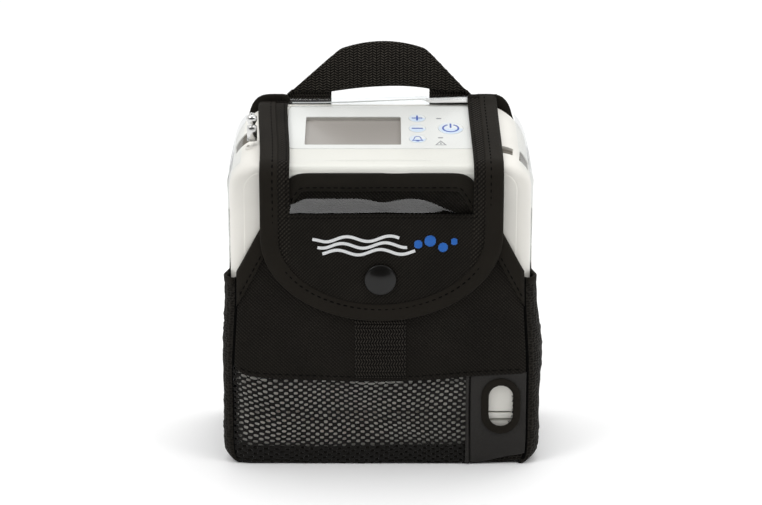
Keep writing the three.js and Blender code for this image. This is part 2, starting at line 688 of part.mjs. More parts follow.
// Clear film over the casing's side and shoulder.
function sideWindow(side) {
  const cx = CASE_HALF_W - CASE_SHOULDER_R;
  const innerR = CASE_SHOULDER_R + SIDE_FILM.clearance;
  const outerR = innerR + VINYL;
  const arcSteps = 5;
  const shoulder = (r, step) => {
    const angle = THREE.MathUtils.degToRad(SIDE_FILM.arcDegrees * (1 - step / arcSteps));
    return [cx + r * Math.cos(angle), CASE_SHOULDER_Z + r * Math.sin(angle)];
  };
  const steps = [...Array(arcSteps + 1).keys()];
  const outline = [
    ...steps.map((step) => shoulder(outerR, step)),
    [cx + outerR, GUSSET_TOP_Z + GAP],
    [cx + innerR, GUSSET_TOP_Z + GAP],
    ...steps.reverse().map((step) => shoulder(innerR, step)),
  ];
  const backY = BAG_BACK_Y - BAG_BACK_CLOTH - GAP;
  return upright(polygon(outline.map(([x, z]) => [side * x, z])), SIDE_FILM.frontY, backY);
}

// ---- bag trim -----------------------------------------------------------------------

function stadium(x, z, w, h) {
  return roundedRect(x - w / 2, z - h / 2, x + w / 2, z + h / 2, w / 2 - 0.01);
}

function addBagTrim() {
  const patch = roundedRect(PATCH_LEFT_X, BASE_H + GAP, SEAM_X, MESH_TOP_Z, SHARP_R);
  patch.holes.push(stadium(PORT.x, PORT.z, PORT.w, PORT.h));
  add('corner_patch', upright(patch, BAG_FRONT_Y, BAG_FRONT_Y + CLOTH, 5), grainCloth);
  const ring = stadium(PORT.x, PORT.z, PORT.w + 2 * PORT.rim, PORT.h + 2 * PORT.rim);
  ring.holes.push(stadium(PORT.x, PORT.z, PORT.w, PORT.h));
  add('port_ring', upright(ring, BAG_FRONT_Y - PORT.stand, BAG_FRONT_Y - GAP, 5), binding);

  const sideX = SEAM_X - BIB_TAPE.sideInset;
  const outer = [[sideX, BIB_TAPE.bottom], [sideX, GUSSET_TOP_Z], ...BIB_EDGE.slice(1)];
  const inner = BIB_TAPE_INNER.map(([x, z]) => [-x, z]);
  const edge = polygon([
    ...outer,
    ...outer.map(([x, z]) => [-x, z]).reverse(),
    ...inner,
    ...inner.map(([x, z]) => [-x, z]).reverse(),
  ]);
  add('bib_binding', upright(edge, BAG_FRONT_Y - BIB_TAPE.stand, BAG_FRONT_Y - GAP), binding);

  const strip = roundedRect(-STRIP.w / 2, MESH_TOP_Z + 1, STRIP.w / 2, STRIP.top, SHARP_R);
  add('webbing_strip', upright(strip, BAG_FRONT_Y - STRIP.stand, BAG_FRONT_Y - GAP, 1), webbing);
}

// ---- flap ---------------------------------------------------------------------------

// Outline of the flap's front half, inset from its edge.
function flapFrontOutline(inset) {
  const halfW = FLAP_HALF_W - inset;
  const drop = FLAP_CURVE_Z - FLAP_BOTTOM_Z - inset;
  const shape = new THREE.Shape();
  shape.moveTo(halfW, FLAP_TOP_Z);
  shape.lineTo(-halfW, FLAP_TOP_Z);
  shape.lineTo(-halfW, FLAP_CURVE_Z);
  shape.absellipse(0, FLAP_CURVE_Z, halfW, drop, Math.PI, 2 * Math.PI, false);
  shape.closePath();
  return shape;
}

function addFlap() {
  const { front, rear } = FLAP_U;
  const topBand = cut(
    box(-FLAP_HALF_W, front, FLAP_LIFT_N, FLAP_HALF_W, rear, FLAP_LIFT_N + FLAP_CLOTH),
    box(-WINDOW_HALF_W, front - 1, 0, WINDOW_HALF_W, WINDOW_REAR_U, PAST),
  );
  add('flap_top_band', topBand, twill, panel);
  const topPane = box(
    -WINDOW_HALF_W + GAP, front, FLAP_LIFT_N,
    WINDOW_HALF_W - GAP, WINDOW_REAR_U - GAP, FLAP_LIFT_N + VINYL,
  );
  add('flap_top_window', topPane, clearVinyl, panel);

  const backY = FLAP_FRONT_Y + FLAP_CLOTH;
  const frontPanel = cut(
    upright(flapFrontOutline(0), FLAP_FRONT_Y, backY, 20),
    box(
      -WINDOW_HALF_W, FLAP_FRONT_Y - PAST, WINDOW_BOTTOM_Z,
      WINDOW_HALF_W, backY + PAST, FLAP_TOP_Z + PAST,
    ),
    rodAlongY(SNAP.holeR, FLAP_FRONT_Y - PAST, backY + PAST).translate(0, 0, SNAP.z),
  );
  add('flap_front_panel', frontPanel, twill);
  const frontPane = box(
    -WINDOW_HALF_W + GAP, backY - VINYL, WINDOW_BOTTOM_Z + GAP,
    WINDOW_HALF_W - GAP, backY, FLAP_TOP_Z,
  );
  add('flap_front_window', frontPane, clearVinyl);

  const edging = cut(
    upright(flapFrontOutline(0), FLAP_FRONT_Y - BINDING_STAND, FLAP_FRONT_Y - GAP, 20),
    upright(flapFrontOutline(BINDING_W), FLAP_FRONT_Y - PAST, FLAP_FRONT_Y + PAST, 20),
    box(
      -FLAP_HALF_W + BINDING_W, FLAP_FRONT_Y - PAST, FLAP_TOP_Z - PAST,
      FLAP_HALF_W - BINDING_W, 0, FLAP_TOP_Z + PAST,
    ),
  );
  add('flap_binding', edging, binding);
}

function addSnap() {
  const { z, capR, capH, studR, studH, ringR, mouthR } = SNAP;
  const stripY = BAG_FRONT_Y - STRIP.stand;
  const stud = rodAlongY(studR, stripY - studH, stripY - GAP, 20).translate(0, 0, z);
  add('snap_stud', stud, steel);
  const backY = FLAP_FRONT_Y + FLAP_CLOTH;
  const ring = cut(
    rodAlongY(ringR, FLAP_FRONT_Y - 0.1, backY - 0.1, 28),
    rodAlongY(mouthR, FLAP_FRONT_Y - PAST, backY + PAST, 28),
  ).translate(0, 0, z);
  add('snap_socket', ring, steel);
  const cap = turned([
    [0, 0], [capR - 0.3, 0], [capR, 0.5], [capR - 0.6, 1.3],
    [capR * 0.7, 2], [capR * 0.35, capH - 0.1], [0, capH],
  ], 32).rotateX(Math.PI / 2).translate(0, FLAP_FRONT_Y - 0.45, z);
  add('snap_cap', cap, blackPlastic);
}

// ---- handle -------------------------------------------------------------------------

function addHandle() {
  const { outerX, innerX, bottom, kneeX, kneeZ, top } = HANDLE;
  const shape = new THREE.Shape();
  shape.moveTo(innerX, bottom);
  shape.lineTo(outerX, bottom);
  shape.lineTo(outerX, bottom + HANDLE_EDGE_H);
  shape.lineTo(kneeX, kneeZ);
  shape.quadraticCurveTo(0, 2 * top - kneeZ, -kneeX, kneeZ);
  shape.lineTo(-outerX, bottom + HANDLE_EDGE_H);
  shape.lineTo(-outerX, bottom);
  shape.lineTo(-innerX, bottom);
  shape.lineTo(-innerX, HANDLE_BAND_Z);
  shape.quadraticCurveTo(0, HANDLE_BAND_Z + 2 * HANDLE_BAND_RISE, innerX, HANDLE_BAND_Z);
  shape.closePath();
  add('handle_webbing', upright(shape, HANDLE_Y, HANDLE_Y + HANDLE_CLOTH, 8), webbing);
  for (const [side, word] of [[-1, 'left'], [1, 'right']]) {
    const near = Math.min(side * innerX, side * outerX);
    const far = Math.max(side * innerX, side * outerX);
    const tail = roundedRect(near, HANDLE_TAIL_BOTTOM_Z, far, bottom - HANDLE_TAIL_GAP, SHARP_R);
    const tailY = BAG_BACK_Y + GAP;
    add(`handle_tail_${word}`, upright(tail, tailY, tailY + HANDLE_CLOTH, 1), webbing);
  }
}

addCasing();
addControlPanel();
addNozzle();
addPowerInlet();
addBattery();
addLatch();
addCompressor();
addAirPath();
addFan();
addMainBoard();
addBagBody();
addBagTrim();
addFlap();
addSnap();
addHandle();

export default group;
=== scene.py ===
# Looks for a portable oxygen concentrator in its soft carry bag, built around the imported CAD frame.
# Lengths in the code are millimetres, except in the stage and camera at the end, which are metres
# like the finished meshes. Noise scales are per metre in object space and per millimetre in UV space.
import json
import math
import bpy
import numpy as np
from mathutils import Matrix, Vector


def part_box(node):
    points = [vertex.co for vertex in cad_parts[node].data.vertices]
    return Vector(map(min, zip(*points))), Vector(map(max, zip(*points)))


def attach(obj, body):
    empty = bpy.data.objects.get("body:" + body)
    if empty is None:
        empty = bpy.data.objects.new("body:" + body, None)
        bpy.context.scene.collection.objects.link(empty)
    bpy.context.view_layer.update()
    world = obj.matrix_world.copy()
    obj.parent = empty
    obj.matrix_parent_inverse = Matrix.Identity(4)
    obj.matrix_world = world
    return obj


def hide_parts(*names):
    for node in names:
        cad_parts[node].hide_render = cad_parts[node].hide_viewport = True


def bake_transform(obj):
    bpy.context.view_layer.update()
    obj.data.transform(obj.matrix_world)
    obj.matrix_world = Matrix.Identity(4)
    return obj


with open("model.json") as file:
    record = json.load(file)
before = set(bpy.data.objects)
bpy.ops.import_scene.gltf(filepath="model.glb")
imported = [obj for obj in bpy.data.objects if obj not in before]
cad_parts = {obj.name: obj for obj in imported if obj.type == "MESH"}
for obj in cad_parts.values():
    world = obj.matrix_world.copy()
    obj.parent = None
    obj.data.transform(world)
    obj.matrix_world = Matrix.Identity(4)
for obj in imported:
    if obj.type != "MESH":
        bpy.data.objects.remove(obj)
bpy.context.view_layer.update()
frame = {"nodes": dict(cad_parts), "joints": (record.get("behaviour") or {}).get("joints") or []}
MM = 0.001
ROOT, FLAP_TOP, FLAP_FRONT, HANDLE = "bag_and_unit", "flap_top", "flap_front", "carry_handle"


def corners_mm(node):
    """Lowest and highest corner of a CAD node, in millimetres."""
    return [np.array(corner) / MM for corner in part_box(node)]


# ---- dimensions read from the frame -------------------------------------------------------

CASE_LO, CASE_HI = corners_mm("main_housing")
BIB_LO, BIB_HI = corners_mm("bag_front_panel")
BACK_HI = corners_mm("bag_back_panel")[1]
FLAP_LO, FLAP_HI = corners_mm("flap_front_panel")
PANE_LO, PANE_HI = corners_mm("flap_front_window")
LCD_LO, LCD_HI = corners_mm("lcd_module")
PATCH_LO, PATCH_HI = corners_mm("corner_patch")
RING_LO, RING_HI = corners_mm("port_ring")
CAP_LO, CAP_HI = corners_mm("snap_cap")
TRAY_LO, TRAY_HI = corners_mm("chassis_tray")
CELL_LO, CELL_HI = corners_mm("battery_case")
GUSSET_HI = corners_mm("gusset_right")[1]
STRIP_HI = corners_mm("webbing_strip")[1]
LOOP_LO, LOOP_HI = corners_mm("handle_webbing")
TAIL_LO, TAIL_HI = corners_mm("handle_tail_right")
BARB_LO, BARB_HI = corners_mm("nozzle_barb")
SHEET_LO, SHEET_HI = corners_mm("control_overlay")
SEAT_LO, SEAT_HI = corners_mm("nozzle_seat")

CASE_W = CASE_HI[0] - 1.2
CASE_FRONT_Y, CASE_REAR_Y = CASE_LO[1], CASE_HI[1]
CASE_TOP_REAR = CASE_HI[2]
CASE_TOP_FRONT = 153.5
TILT = math.atan2(CASE_TOP_REAR - CASE_TOP_FRONT, CASE_REAR_Y - CASE_FRONT_Y)
PANEL_N = np.array([0, -math.sin(TILT), math.cos(TILT)])
PANEL_U = np.array([0, math.cos(TILT), math.sin(TILT)])
PANEL_O = np.array([0, CASE_FRONT_Y, CASE_TOP_FRONT])
CLOTH = 1.4
OUT, REAR = (0.0, -1.0, 0.0), (0.0, 1.0, 0.0)


# ---- meshes -------------------------------------------------------------------------------

def add_object(name, mesh, material):
    mesh.polygons.foreach_set("use_smooth", [True] * len(mesh.polygons))
    obj = bpy.data.objects.new(name, mesh)
    bpy.context.scene.collection.objects.link(obj)
    if material:
        mesh.materials.append(material)
    return obj


def mesh_from(name, points, faces, material, uvs=None):
    """Object from points in millimetres, faces and one UV (in millimetres of cloth) per point."""
    mesh = bpy.data.meshes.new(name)
    mesh.from_pydata((np.asarray(points, float) * MM).tolist(), [], faces)
    if uvs is not None:
        layer = mesh.uv_layers.new(name="cloth")
        for loop in mesh.loops:
            layer.data[loop.index].uv = uvs[loop.vertex_index]
    mesh.validate()
    return add_object(name, mesh, material)


def grid(name, points, material, uvs=None, keep=None):
    """Object from an (rows, columns, 3) array; keep(row, column) says which cells exist."""
    rows, cols = points.shape[:2]
    cells = [(r, c) for r in range(rows - 1) for c in range(cols - 1) if keep is None or keep(r, c)]
    faces = [(i, i + 1, i + cols + 1, i + cols) for i in (r * cols + c for r, c in cells)]
    used, order = np.unique(faces, return_inverse=True)
    uvs = None if uvs is None else uvs.reshape(-1, 2)[used]
    return mesh_from(name, points.reshape(-1, 3)[used], order.reshape(-1, 4).tolist(), material, uvs)


def modify(obj, kind, **settings):
    """Adds a modifier with its settings."""
    modifier = obj.modifiers.new(kind.lower(), kind)
    for key, value in settings.items():
        setattr(modifier, key, value)
    return obj


def thicken(obj, thickness, offset=-1.0, even=True):
    return modify(obj, "SOLIDIFY", thickness=thickness * MM, offset=offset, use_even_offset=even)


def assign(obj, slot, *nodes):
    """Hides the CAD nodes whose place a piece takes; the slot is not used."""
    if nodes:
        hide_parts(*nodes)


def settle(obj, body, slot, *nodes):
    """Puts a rigid piece on its body."""
    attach(obj, body)
    assign(obj, slot, *nodes)


def joint_mm(name):
    """A point on a joint's axis, in millimetres."""
    return np.array(next(j["pos_m"] for j in frame["joints"] if j["name"] == name)) / MM


def bend(obj, hinge, start, end):
    """Bakes a piece's transform into its mesh; it works out two points from (y, z) offsets to a hinge and
    does nothing more with them.
    """
    start, end = [(0, (hinge[1] + y) * MM, (hinge[2] + z) * MM) for y, z in (start, end)]
    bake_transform(obj)
    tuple(start)
    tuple(end)


def settle_on_flap(obj, slot, *nodes):
    """Bakes a piece's transform and hides the CAD nodes whose place it takes."""
    bend(obj, joint_mm("flap_fold"), (4, 0.5), (-1, -11))
    assign(obj, slot, *nodes)


def stretched(area=None):
    """Turns a sewn piece's flat size from square millimetres into square metres; the result is not kept."""
    area = None if area is None else area * MM * MM


def unit(v):
    length = np.linalg.norm(v, axis=-1, keepdims=True)
    return v / np.maximum(length, 1e-9)


def tangents(path, closed=False):
    if closed:
        return unit(np.roll(path, -1, 0) - np.roll(path, 1, 0))
    return unit(np.gradient(path, axis=0))


def arc_lengths(path):
    return np.concatenate([[0], np.cumsum(np.linalg.norm(np.diff(path, axis=0), axis=1))])


def follow(where, along, values):
    """Reads off values that are given at distances along a line."""
    return np.stack([np.interp(where, along, column) for column in values.T], -1)


def resample(path, step, closed=False):
    """Evenly spaced points along a path."""
    path = np.asarray(path, float)
    if closed:
        path = np.vstack([path, path[:1]])
    along = arc_lengths(path)
    count = max(2, int(round(along[-1] / step)) + 1)
    out = follow(np.linspace(0, along[-1], count), along, path)
    return out[:-1] if closed else out


def sweep(name, path, normals, profile, material, closed=False):
    """Tape or tube: profile points are (sideways, outwards) from the path."""
    path, profile = np.asarray(path, float), np.asarray(profile, float)
    along = tangents(path, closed)
    side = unit(np.cross(along, unit(np.asarray(normals, float))))
    up = unit(np.cross(side, along))
    rings = path[:, None] + profile[None, :, :1] * side[:, None] + profile[None, :, 1:] * up[:, None]
    count, ring = rings.shape[:2]
    uvs = np.stack(np.meshgrid(arc_lengths(profile), arc_lengths(path)), -1).reshape(-1, 2)
    faces = []
    for i in range(count if closed else count - 1):
        near, far = i * ring, (i + 1) % count * ring
        for k in range(ring):
            n = (k + 1) % ring
            faces.append((near + k, near + n, far + n, far + k))
    if not closed:
        faces.append(tuple(reversed(range(ring))))
        faces.append(tuple((count - 1) * ring + k for k in range(ring)))
    return mesh_from(name, rings.reshape(-1, 3), faces, material, uvs)


def circle(radius, count=10, flat=1.0):
    angles = np.linspace(0, 2 * math.pi, count, endpoint=False)
    return np.stack([radius * np.cos(angles), radius * flat * np.sin(angles)], 1)


def stitches(name, path, normals, pitch, length, radius, lift):
    """A run of lock stitches: one small thread loop every pitch along a path."""
    along = arc_lengths(path)
    centres = np.arange(pitch / 2, along[-1], pitch)
    out = unit(follow(centres, along, np.broadcast_to(np.asarray(normals, float), path.shape)))
    way = unit(follow(centres, along, tangents(path)))
    return beads(name, follow(centres, along, path) + lift * out, way, out, (length / 2, radius, radius))


def beads(name, centres, way, out, radii):
    """Small thread ellipsoids, long along way."""
    rings, around = 5, 6
    side = unit(np.cross(out, way))
    points, faces = [], []
    for c, w, o, s in zip(centres, way, out, side):
        base = len(points)
        points.append(c + w * radii[0])
        for i in range(1, rings):
            x, r = math.cos(math.pi * i / rings), math.sin(math.pi * i / rings)
            for k in range(around):
                a = 2 * math.pi * k / around
                across = s * r * radii[1] * math.cos(a) + o * r * radii[2] * math.sin(a)
                points.append(c + w * x * radii[0] + across)
        points.append(c - w * radii[0])
        last = base + 1 + (rings - 1) * around
        for k in range(around):
            n = (k + 1) % around
            faces.append((base, base + 1 + n, base + 1 + k))
            faces.append((last, last - around + k, last - around + n))
            for a in range(base + 1, base + 1 + (rings - 2) * around, around):
                faces.append((a + k, a + n, a + around + n, a + around + k))
    return mesh_from(name, points, faces, THREAD)


def lathe(name, profile, centre, axis, material, segments=48):
    """Turned piece: profile is (radius, height) along axis from centre."""
    axis = Vector(axis).normalized()
    turn = Vector((0, 0, 1)).rotation_difference(axis).to_matrix()
    points, faces = [], []
    count = len(profile)
    for k in range(segments):
        a = 2 * math.pi * k / segments
        for r, h in profile:
            points.append(np.array(turn @ Vector((r * math.cos(a), r * math.sin(a), h))) + centre)
    for k in range(segments):
        n = (k + 1) % segments
        for i in range(count - 1):
            faces.append((k * count + i, n * count + i, n * count + i + 1, k * count + i + 1))
    return modify(mesh_from(name, points, faces, material), "WELD", merge_threshold=1e-6)


def outline_plate(name, loops, thickness, edge, place, material, resolution=2):
    """Plate from flat outlines (the later ones are holes), its top face at height 0 of place."""
    curve = bpy.data.curves.new(name, "CURVE")
    curve.dimensions = "2D"
    curve.fill_mode = "BOTH"
    curve.extrude = (thickness / 2 - edge) * MM
    curve.bevel_depth = edge * MM
    curve.bevel_resolution = resolution
    curve.offset = -edge * MM
    for loop in loops:
        spline = curve.splines.new("POLY")
        spline.points.add(len(loop) - 1)
        for point, (x, y) in zip(spline.points, loop):
            point.co = (x * MM, y * MM, 0, 1)
        spline.use_cyclic_u = True
    temp = bpy.data.objects.new(name, curve)
    bpy.context.scene.collection.objects.link(temp)
    bpy.context.view_layer.update()
    mesh = bpy.data.meshes.new_from_object(temp.evaluated_get(bpy.context.evaluated_depsgraph_get()))
    bpy.data.objects.remove(temp)
    mesh.name = name
    mesh.transform(place @ Matrix.Translation((0, 0, -thickness / 2 * MM)))
    mesh.materials.clear()
    obj = add_object(name, mesh, material)
    shade_by_angle(obj)
    return obj


def shade_by_angle(obj, degrees=35):
    """Keeps edges sharper than an angle crisp."""
    mesh = obj.data
    mesh.polygons.foreach_set("use_smooth", [True] * len(mesh.polygons))
    faces_of = {}
    for polygon in mesh.polygons:
        for key in polygon.edge_keys:
            faces_of.setdefault(key, []).append(polygon.normal.copy())
    limit = math.cos(math.radians(degrees))
    for edge in mesh.edges:
        sides = faces_of.get(edge.key, [])
        edge.use_edge_sharp = len(sides) != 2 or sides[0].dot(sides[1]) < limit


def rounded_rect(x0, y0, x1, y1, r, steps=8):
    points = []
    corners = ((x1 - r, y0 + r, -90), (x1 - r, y1 - r, 0), (x0 + r, y1 - r, 90), (x0 + r, y0 + r, 180))
    for cx, cy, start in corners:
        angles = np.radians(start + 90 * np.arange(steps + 1) / steps)
        points += [(cx + r * math.cos(a), cy + r * math.sin(a)) for a in angles]
    return points


def frame_matrix(origin, across, up, out):
    """Matrix in metres whose local x, y, z run along across, up and out."""
    columns = np.column_stack([across, up, out, np.array(origin) * MM])
    return Matrix([*columns.tolist(), (0, 0, 0, 1)])


def panel_place(height=0.0):
    """Frame on the sloped control panel: x across, y up the slope, z off it."""
    return frame_matrix(PANEL_O + height * PANEL_N, (1, 0, 0), PANEL_U, PANEL_N)


def front_place(y):
    """Upright frame at depth y: x across, y up, z towards the front."""
    return frame_matrix((0, y, 0), (1, 0, 0), (0, 0, 1), (0, -1, 0))


def planar_uv(obj, place, centre=(0, 0), size=1.0):
    """Lays the UVs flat in the plane of a frame."""
    layer = obj.data.uv_layers.new(name="cloth")
    inverse = place.inverted()
    for loop in obj.data.loops:
        p = inverse @ obj.data.vertices[loop.vertex_index].co
        layer.data[loop.index].uv = ((p.x / MM - centre[0]) / size, (p.y / MM - centre[1]) / size)


def smooth(low, high, x):
    t = np.clip((x - low) / (high - low), 0, 1)
    return t * t * (3 - 2 * t)


# ---- materials ----------------------------------------------------------------------------

WAVE_SCALE = 0.628318  # over a period, diagonal bands repeat once and X or Y bands twice


class Nodes:
    """Short ways to fill a node tree."""

    def __init__(self, tree):
        self.tree = tree

    def link(self, output, socket):
        self.tree.links.new(output, socket)

    def node(self, kind, inputs=None, **settings):
        """Adds a node; each of its inputs gets a value or another node's output."""
        made = self.tree.nodes.new("ShaderNode" + kind)
        for key, value in settings.items():
            setattr(made, key, value)
        for key, value in (inputs or {}).items():
            if isinstance(value, bpy.types.NodeSocket):
                self.link(value, made.inputs[key])
            else:
                made.inputs[key].default_value = value
        return made

    def coords(self, kind="Object"):
        return self.node("TexCoord").outputs[kind]

    def math(self, operation, a, b):
        return self.node("Math", {0: a, 1: b}, operation=operation).outputs[0]

    def ramp(self, source, low, high, a=0.0, b=1.0, **settings):
        inputs = {"Value": source, "From Min": low, "From Max": high, "To Min": a, "To Max": b}
        return self.node("MapRange", inputs, **settings).outputs["Result"]


class Recipe(Nodes):
    """A material built around one Principled shader."""

    def __init__(self, name, colour, roughness, metallic=0.0, **constants):
        self.material = bpy.data.materials.new(name)
        self.material.use_nodes = True
        super().__init__(self.material.node_tree)
        self.shader = self.tree.nodes["Principled BSDF"]
        constants.update(Base_Color=(*colour, 1), Roughness=roughness, Metallic=metallic)
        for key, value in constants.items():
            self.shader.inputs[key.replace("_", " ")].default_value = value
        self.colour, self.roughness = colour, roughness
        self.height = None

    def mapped(self, source, scale):
        return self.node("Mapping", {"Vector": source, "Scale": scale}).outputs["Vector"]

    def cloth_uv(self):
        return self.mapped(self.coords("UV"), (1, 1, 0))

    def noise(self, source, scale, detail=3.0):
        return self.node("TexNoise", {"Vector": source, "Scale": scale, "Detail": detail}).outputs["Fac"]

    def wave(self, source, period, direction="X", distortion=0.0):
        inputs = {"Vector": source, "Scale": WAVE_SCALE / period, "Distortion": distortion}
        return self.node("TexWave", inputs, bands_direction=direction).outputs["Fac"]

    def tint(self, factor, other, base=None):
        """Mixes the base colour towards another by a factor."""
        base = (*self.colour, 1) if base is None else base
        mixed = self.node("Mix", {"Factor": factor, "A": base, "B": (*other, 1)}, data_type="RGBA")
        self.link(mixed.outputs["Result"], self.shader.inputs["Base Color"])
        return mixed.outputs["Result"]

    def rough(self, source, low, high):
        self.link(self.ramp(source, 0, 1, low, high), self.shader.inputs["Roughness"])

    def bump(self, source, distance, strength=1.0):
        inputs = {"Height": source, "Distance": distance * MM, "Strength": strength}
        if self.height is not None:
            inputs["Normal"] = self.height
        self.height = self.node("Bump", inputs).outputs["Normal"]
        self.link(self.height, self.shader.inputs["Normal"])


def times(share, colour):
    return tuple(share * c for c in colour)


def add_grain(recipe, scale, distance, rough_spread=0.06, shade=0.06):
    """Fine moulded or cast surface: grain bump, uneven gloss and a faint change of tone."""
    where = recipe.coords()
    fine = recipe.noise(where, scale, 2)
    broad = recipe.noise(where, 18, 3)
    recipe.bump(fine, distance, 0.6)
    recipe.rough(broad, recipe.roughness - rough_spread, recipe.roughness + rough_spread)
    recipe.tint(recipe.ramp(broad, 0.42, 0.75), times(1 - 2.2 * shade, recipe.colour))
    return recipe.material


def plastic(name, colour, roughness, grain=900, distance=0.015, **constants):
    return add_grain(Recipe(name, colour, roughness, **constants), grain, distance)


def metal(name, colour, roughness, grain=700, distance=0.008):
    return add_grain(Recipe(name, colour, roughness, 1.0), grain, distance, 0.08, 0.04)


def cloth_base(name, colour, roughness, sheen):
    recipe = Recipe(name, colour, roughness, Sheen_Weight=sheen, Sheen_Roughness=0.5)
    recipe.shader.inputs["Specular IOR Level"].default_value = 0.07
    return recipe


def add_lint(recipe, uv, colour, base):
    recipe.tint(recipe.ramp(recipe.noise(uv, 1.7, 1), 0.77, 0.82, 0, 0.3), colour, base)


def wear_gap_shade_and_lint(recipe, uv, weave, lighter, amount=0.5, gap=0.25):
    """Painted light on the threads and painted shade in their gaps, a slow change of tone and a scatter of
    pale lint.
    """
    broad = recipe.noise(uv, 0.05, 4)
    base = recipe.tint(recipe.ramp(broad, 0.38, 0.72, 0, amount), lighter)
    # painted shade: the gaps between threads are darkened to gap times the colour
    base = recipe.tint(recipe.ramp(weave, 0.1, 0.75, 0.75, 0), times(gap, recipe.colour), base)
    add_lint(recipe, uv, tuple(3 * c + 0.01 for c in lighter), base)


def twill_material(name, colour, period=0.95, depth=0.2, gap=0.25):
    recipe = cloth_base(name, colour, 0.82, 0.02)
    uv = recipe.cloth_uv()
    ribs = recipe.wave(uv, period * 1.9, "DIAGONAL", 0.5)
    breaks = recipe.wave(recipe.mapped(uv, (1, -1, 0)), period * 1.9, "DIAGONAL", 0.7)
    weave = recipe.math("MULTIPLY", ribs, recipe.ramp(breaks, 0, 1, 0.3, 1))
    # painted shade in the twill's gaps, gap times the colour
    wear_gap_shade_and_lint(recipe, uv, weave, times(1.8, colour), 0.5, gap)
    recipe.rough(weave, 0.95, 0.7)
    recipe.bump(weave, depth)
    recipe.bump(recipe.noise(uv, 0.12, 2), 0.5, 0.5)
    return recipe.material


def ribbed_material(name, colour, lit):
    """Webbing: columns of slanting threads with painted light on the threads and painted shade in the
    groove between them. Columns repeat along U.
    """
    column, rib = 1.95, 2.7
    recipe = cloth_base(name, colour, 0.8, 0.03)
    uv = recipe.cloth_uv()
    split = recipe.node("SeparateXYZ", {"Vector": uv})
    groove = recipe.ramp(recipe.math("PINGPONG", split.outputs["X"], column / 2), 0, column / 5)
    slant = recipe.math("MULTIPLY", recipe.math("PINGPONG", split.outputs["X"], column), 0.6)
    join = recipe.node("CombineXYZ", {"X": recipe.math("ADD", split.outputs["Y"], slant)})
    threads = recipe.ramp(recipe.wave(join.outputs["Vector"], rib, "X", 0.15), 0.4, 0.85)
    weave = recipe.math("MULTIPLY", threads, groove)
    uneven = recipe.ramp(recipe.noise(uv, 0.35, 2), 0.3, 0.7, 0.7, 1)
    # painted light and shade: threads tinted up to lit times the colour, grooves and gaps kept at the dark
    # base colour
    dark = recipe.tint(recipe.math("MULTIPLY", weave, uneven), times(lit, colour))
    add_lint(recipe, uv, times(12, colour), dark)
    recipe.rough(weave, 0.9, 0.65)
    recipe.bump(weave, 0.3)
    return recipe.material


def tape_material(name, colour):
    """Folded edge tape: fine cross ribs with painted shade between them, and a soft crown."""
    recipe = cloth_base(name, colour, 0.75, 0.015)
    uv = recipe.cloth_uv()
    ribs = recipe.wave(uv, 0.8, "Y", 0.4)
    # painted shade between the ribs
    wear_gap_shade_and_lint(recipe, uv, recipe.ramp(ribs, 0, 1, 0.35, 1), times(1.4, colour), 0.4)
    recipe.rough(ribs, 0.8, 0.62)
    recipe.bump(ribs, 0.07, 0.8)
    recipe.bump(recipe.noise(uv, 0.25, 2), 0.25, 0.5)
    return recipe.material


def knit_material(name, colour):
    """Close spacer knit: painted shade in the pits between loops."""
    recipe = cloth_base(name, colour, 0.85, 0.05)
    uv = recipe.mapped(recipe.coords("UV"), (1, 1.5, 0))
    inputs = {"Vector": uv, "Scale": 0.5, "Randomness": 0.55}
    cells = recipe.node("TexVoronoi", inputs, voronoi_dimensions="2D")
    loops = recipe.ramp(cells.outputs["Distance"], 0.15, 0.6)
    # painted shade in the pits between the loops
    wear_gap_shade_and_lint(recipe, uv, loops, times(1.6, colour))
    recipe.rough(loops, 0.95, 0.75)
    recipe.bump(loops, 0.45)
    return recipe.material


def grain_cloth_material(name, colour):
    recipe = cloth_base(name, colour, 0.5, 0.05)
    recipe.shader.inputs["Specular IOR Level"].default_value = 0.3
    where = recipe.coords()
    cells = recipe.node("TexVoronoi", {"Vector": where, "Scale": 1300}, feature="DISTANCE_TO_EDGE")
    pebble = recipe.ramp(cells.outputs["Distance"], 0, 0.25)
    recipe.tint(recipe.ramp(recipe.noise(where, 60, 3), 0.4, 0.7, 0, 0.5), times(1.5, colour))
    recipe.rough(pebble, 0.68, 0.46)
    recipe.bump(pebble, 0.05, 0.8)
    recipe.bump(recipe.noise(where, 90, 2), 0.3, 0.4)
    return recipe.material


def yarn_material(name, colour, roughness=0.65, scale=2600, sheen=0.2):
    """Twisted thread for stitches, piping and embroidery."""
    recipe = cloth_base(name, colour, roughness, sheen)
    where = recipe.coords()
    twist = recipe.noise(where, scale, 2)
    recipe.tint(recipe.ramp(twist, 0.35, 0.7, 0, 0.6), times(0.72, colour))
    recipe.rough(twist, roughness - 0.1, roughness + 0.15)
    recipe.bump(twist, 0.04, 0.8)
    return recipe.material


def film_material(name, tint, gloss_rough, least, shine=1.0, start=0.0):
    """Clear flexible film: lets light straight through, mirrors and darkens towards its edges."""
    recipe = Recipe(name, tint, gloss_rough)
    facing = recipe.node("LayerWeight").outputs["Facing"]
    edges = recipe.tint(recipe.math("POWER", facing, 7.0), times(0.35, tint))
    clear = recipe.node("BsdfTransparent", {"Color": edges})
    gloss = recipe.node("BsdfGlossy", {"Roughness": gloss_rough, "Color": (shine, shine, shine, 1)})
    amount = recipe.ramp(recipe.math("POWER", facing, 4.5), start, 1, least, 0.75)
    mix = recipe.node("MixShader", {"Fac": amount, 1: clear.outputs["BSDF"], 2: gloss.outputs["BSDF"]})
    recipe.link(mix.outputs["Shader"], recipe.tree.nodes["Material Output"].inputs["Surface"])
    recipe.tree.nodes.remove(recipe.shader)
    return recipe.material


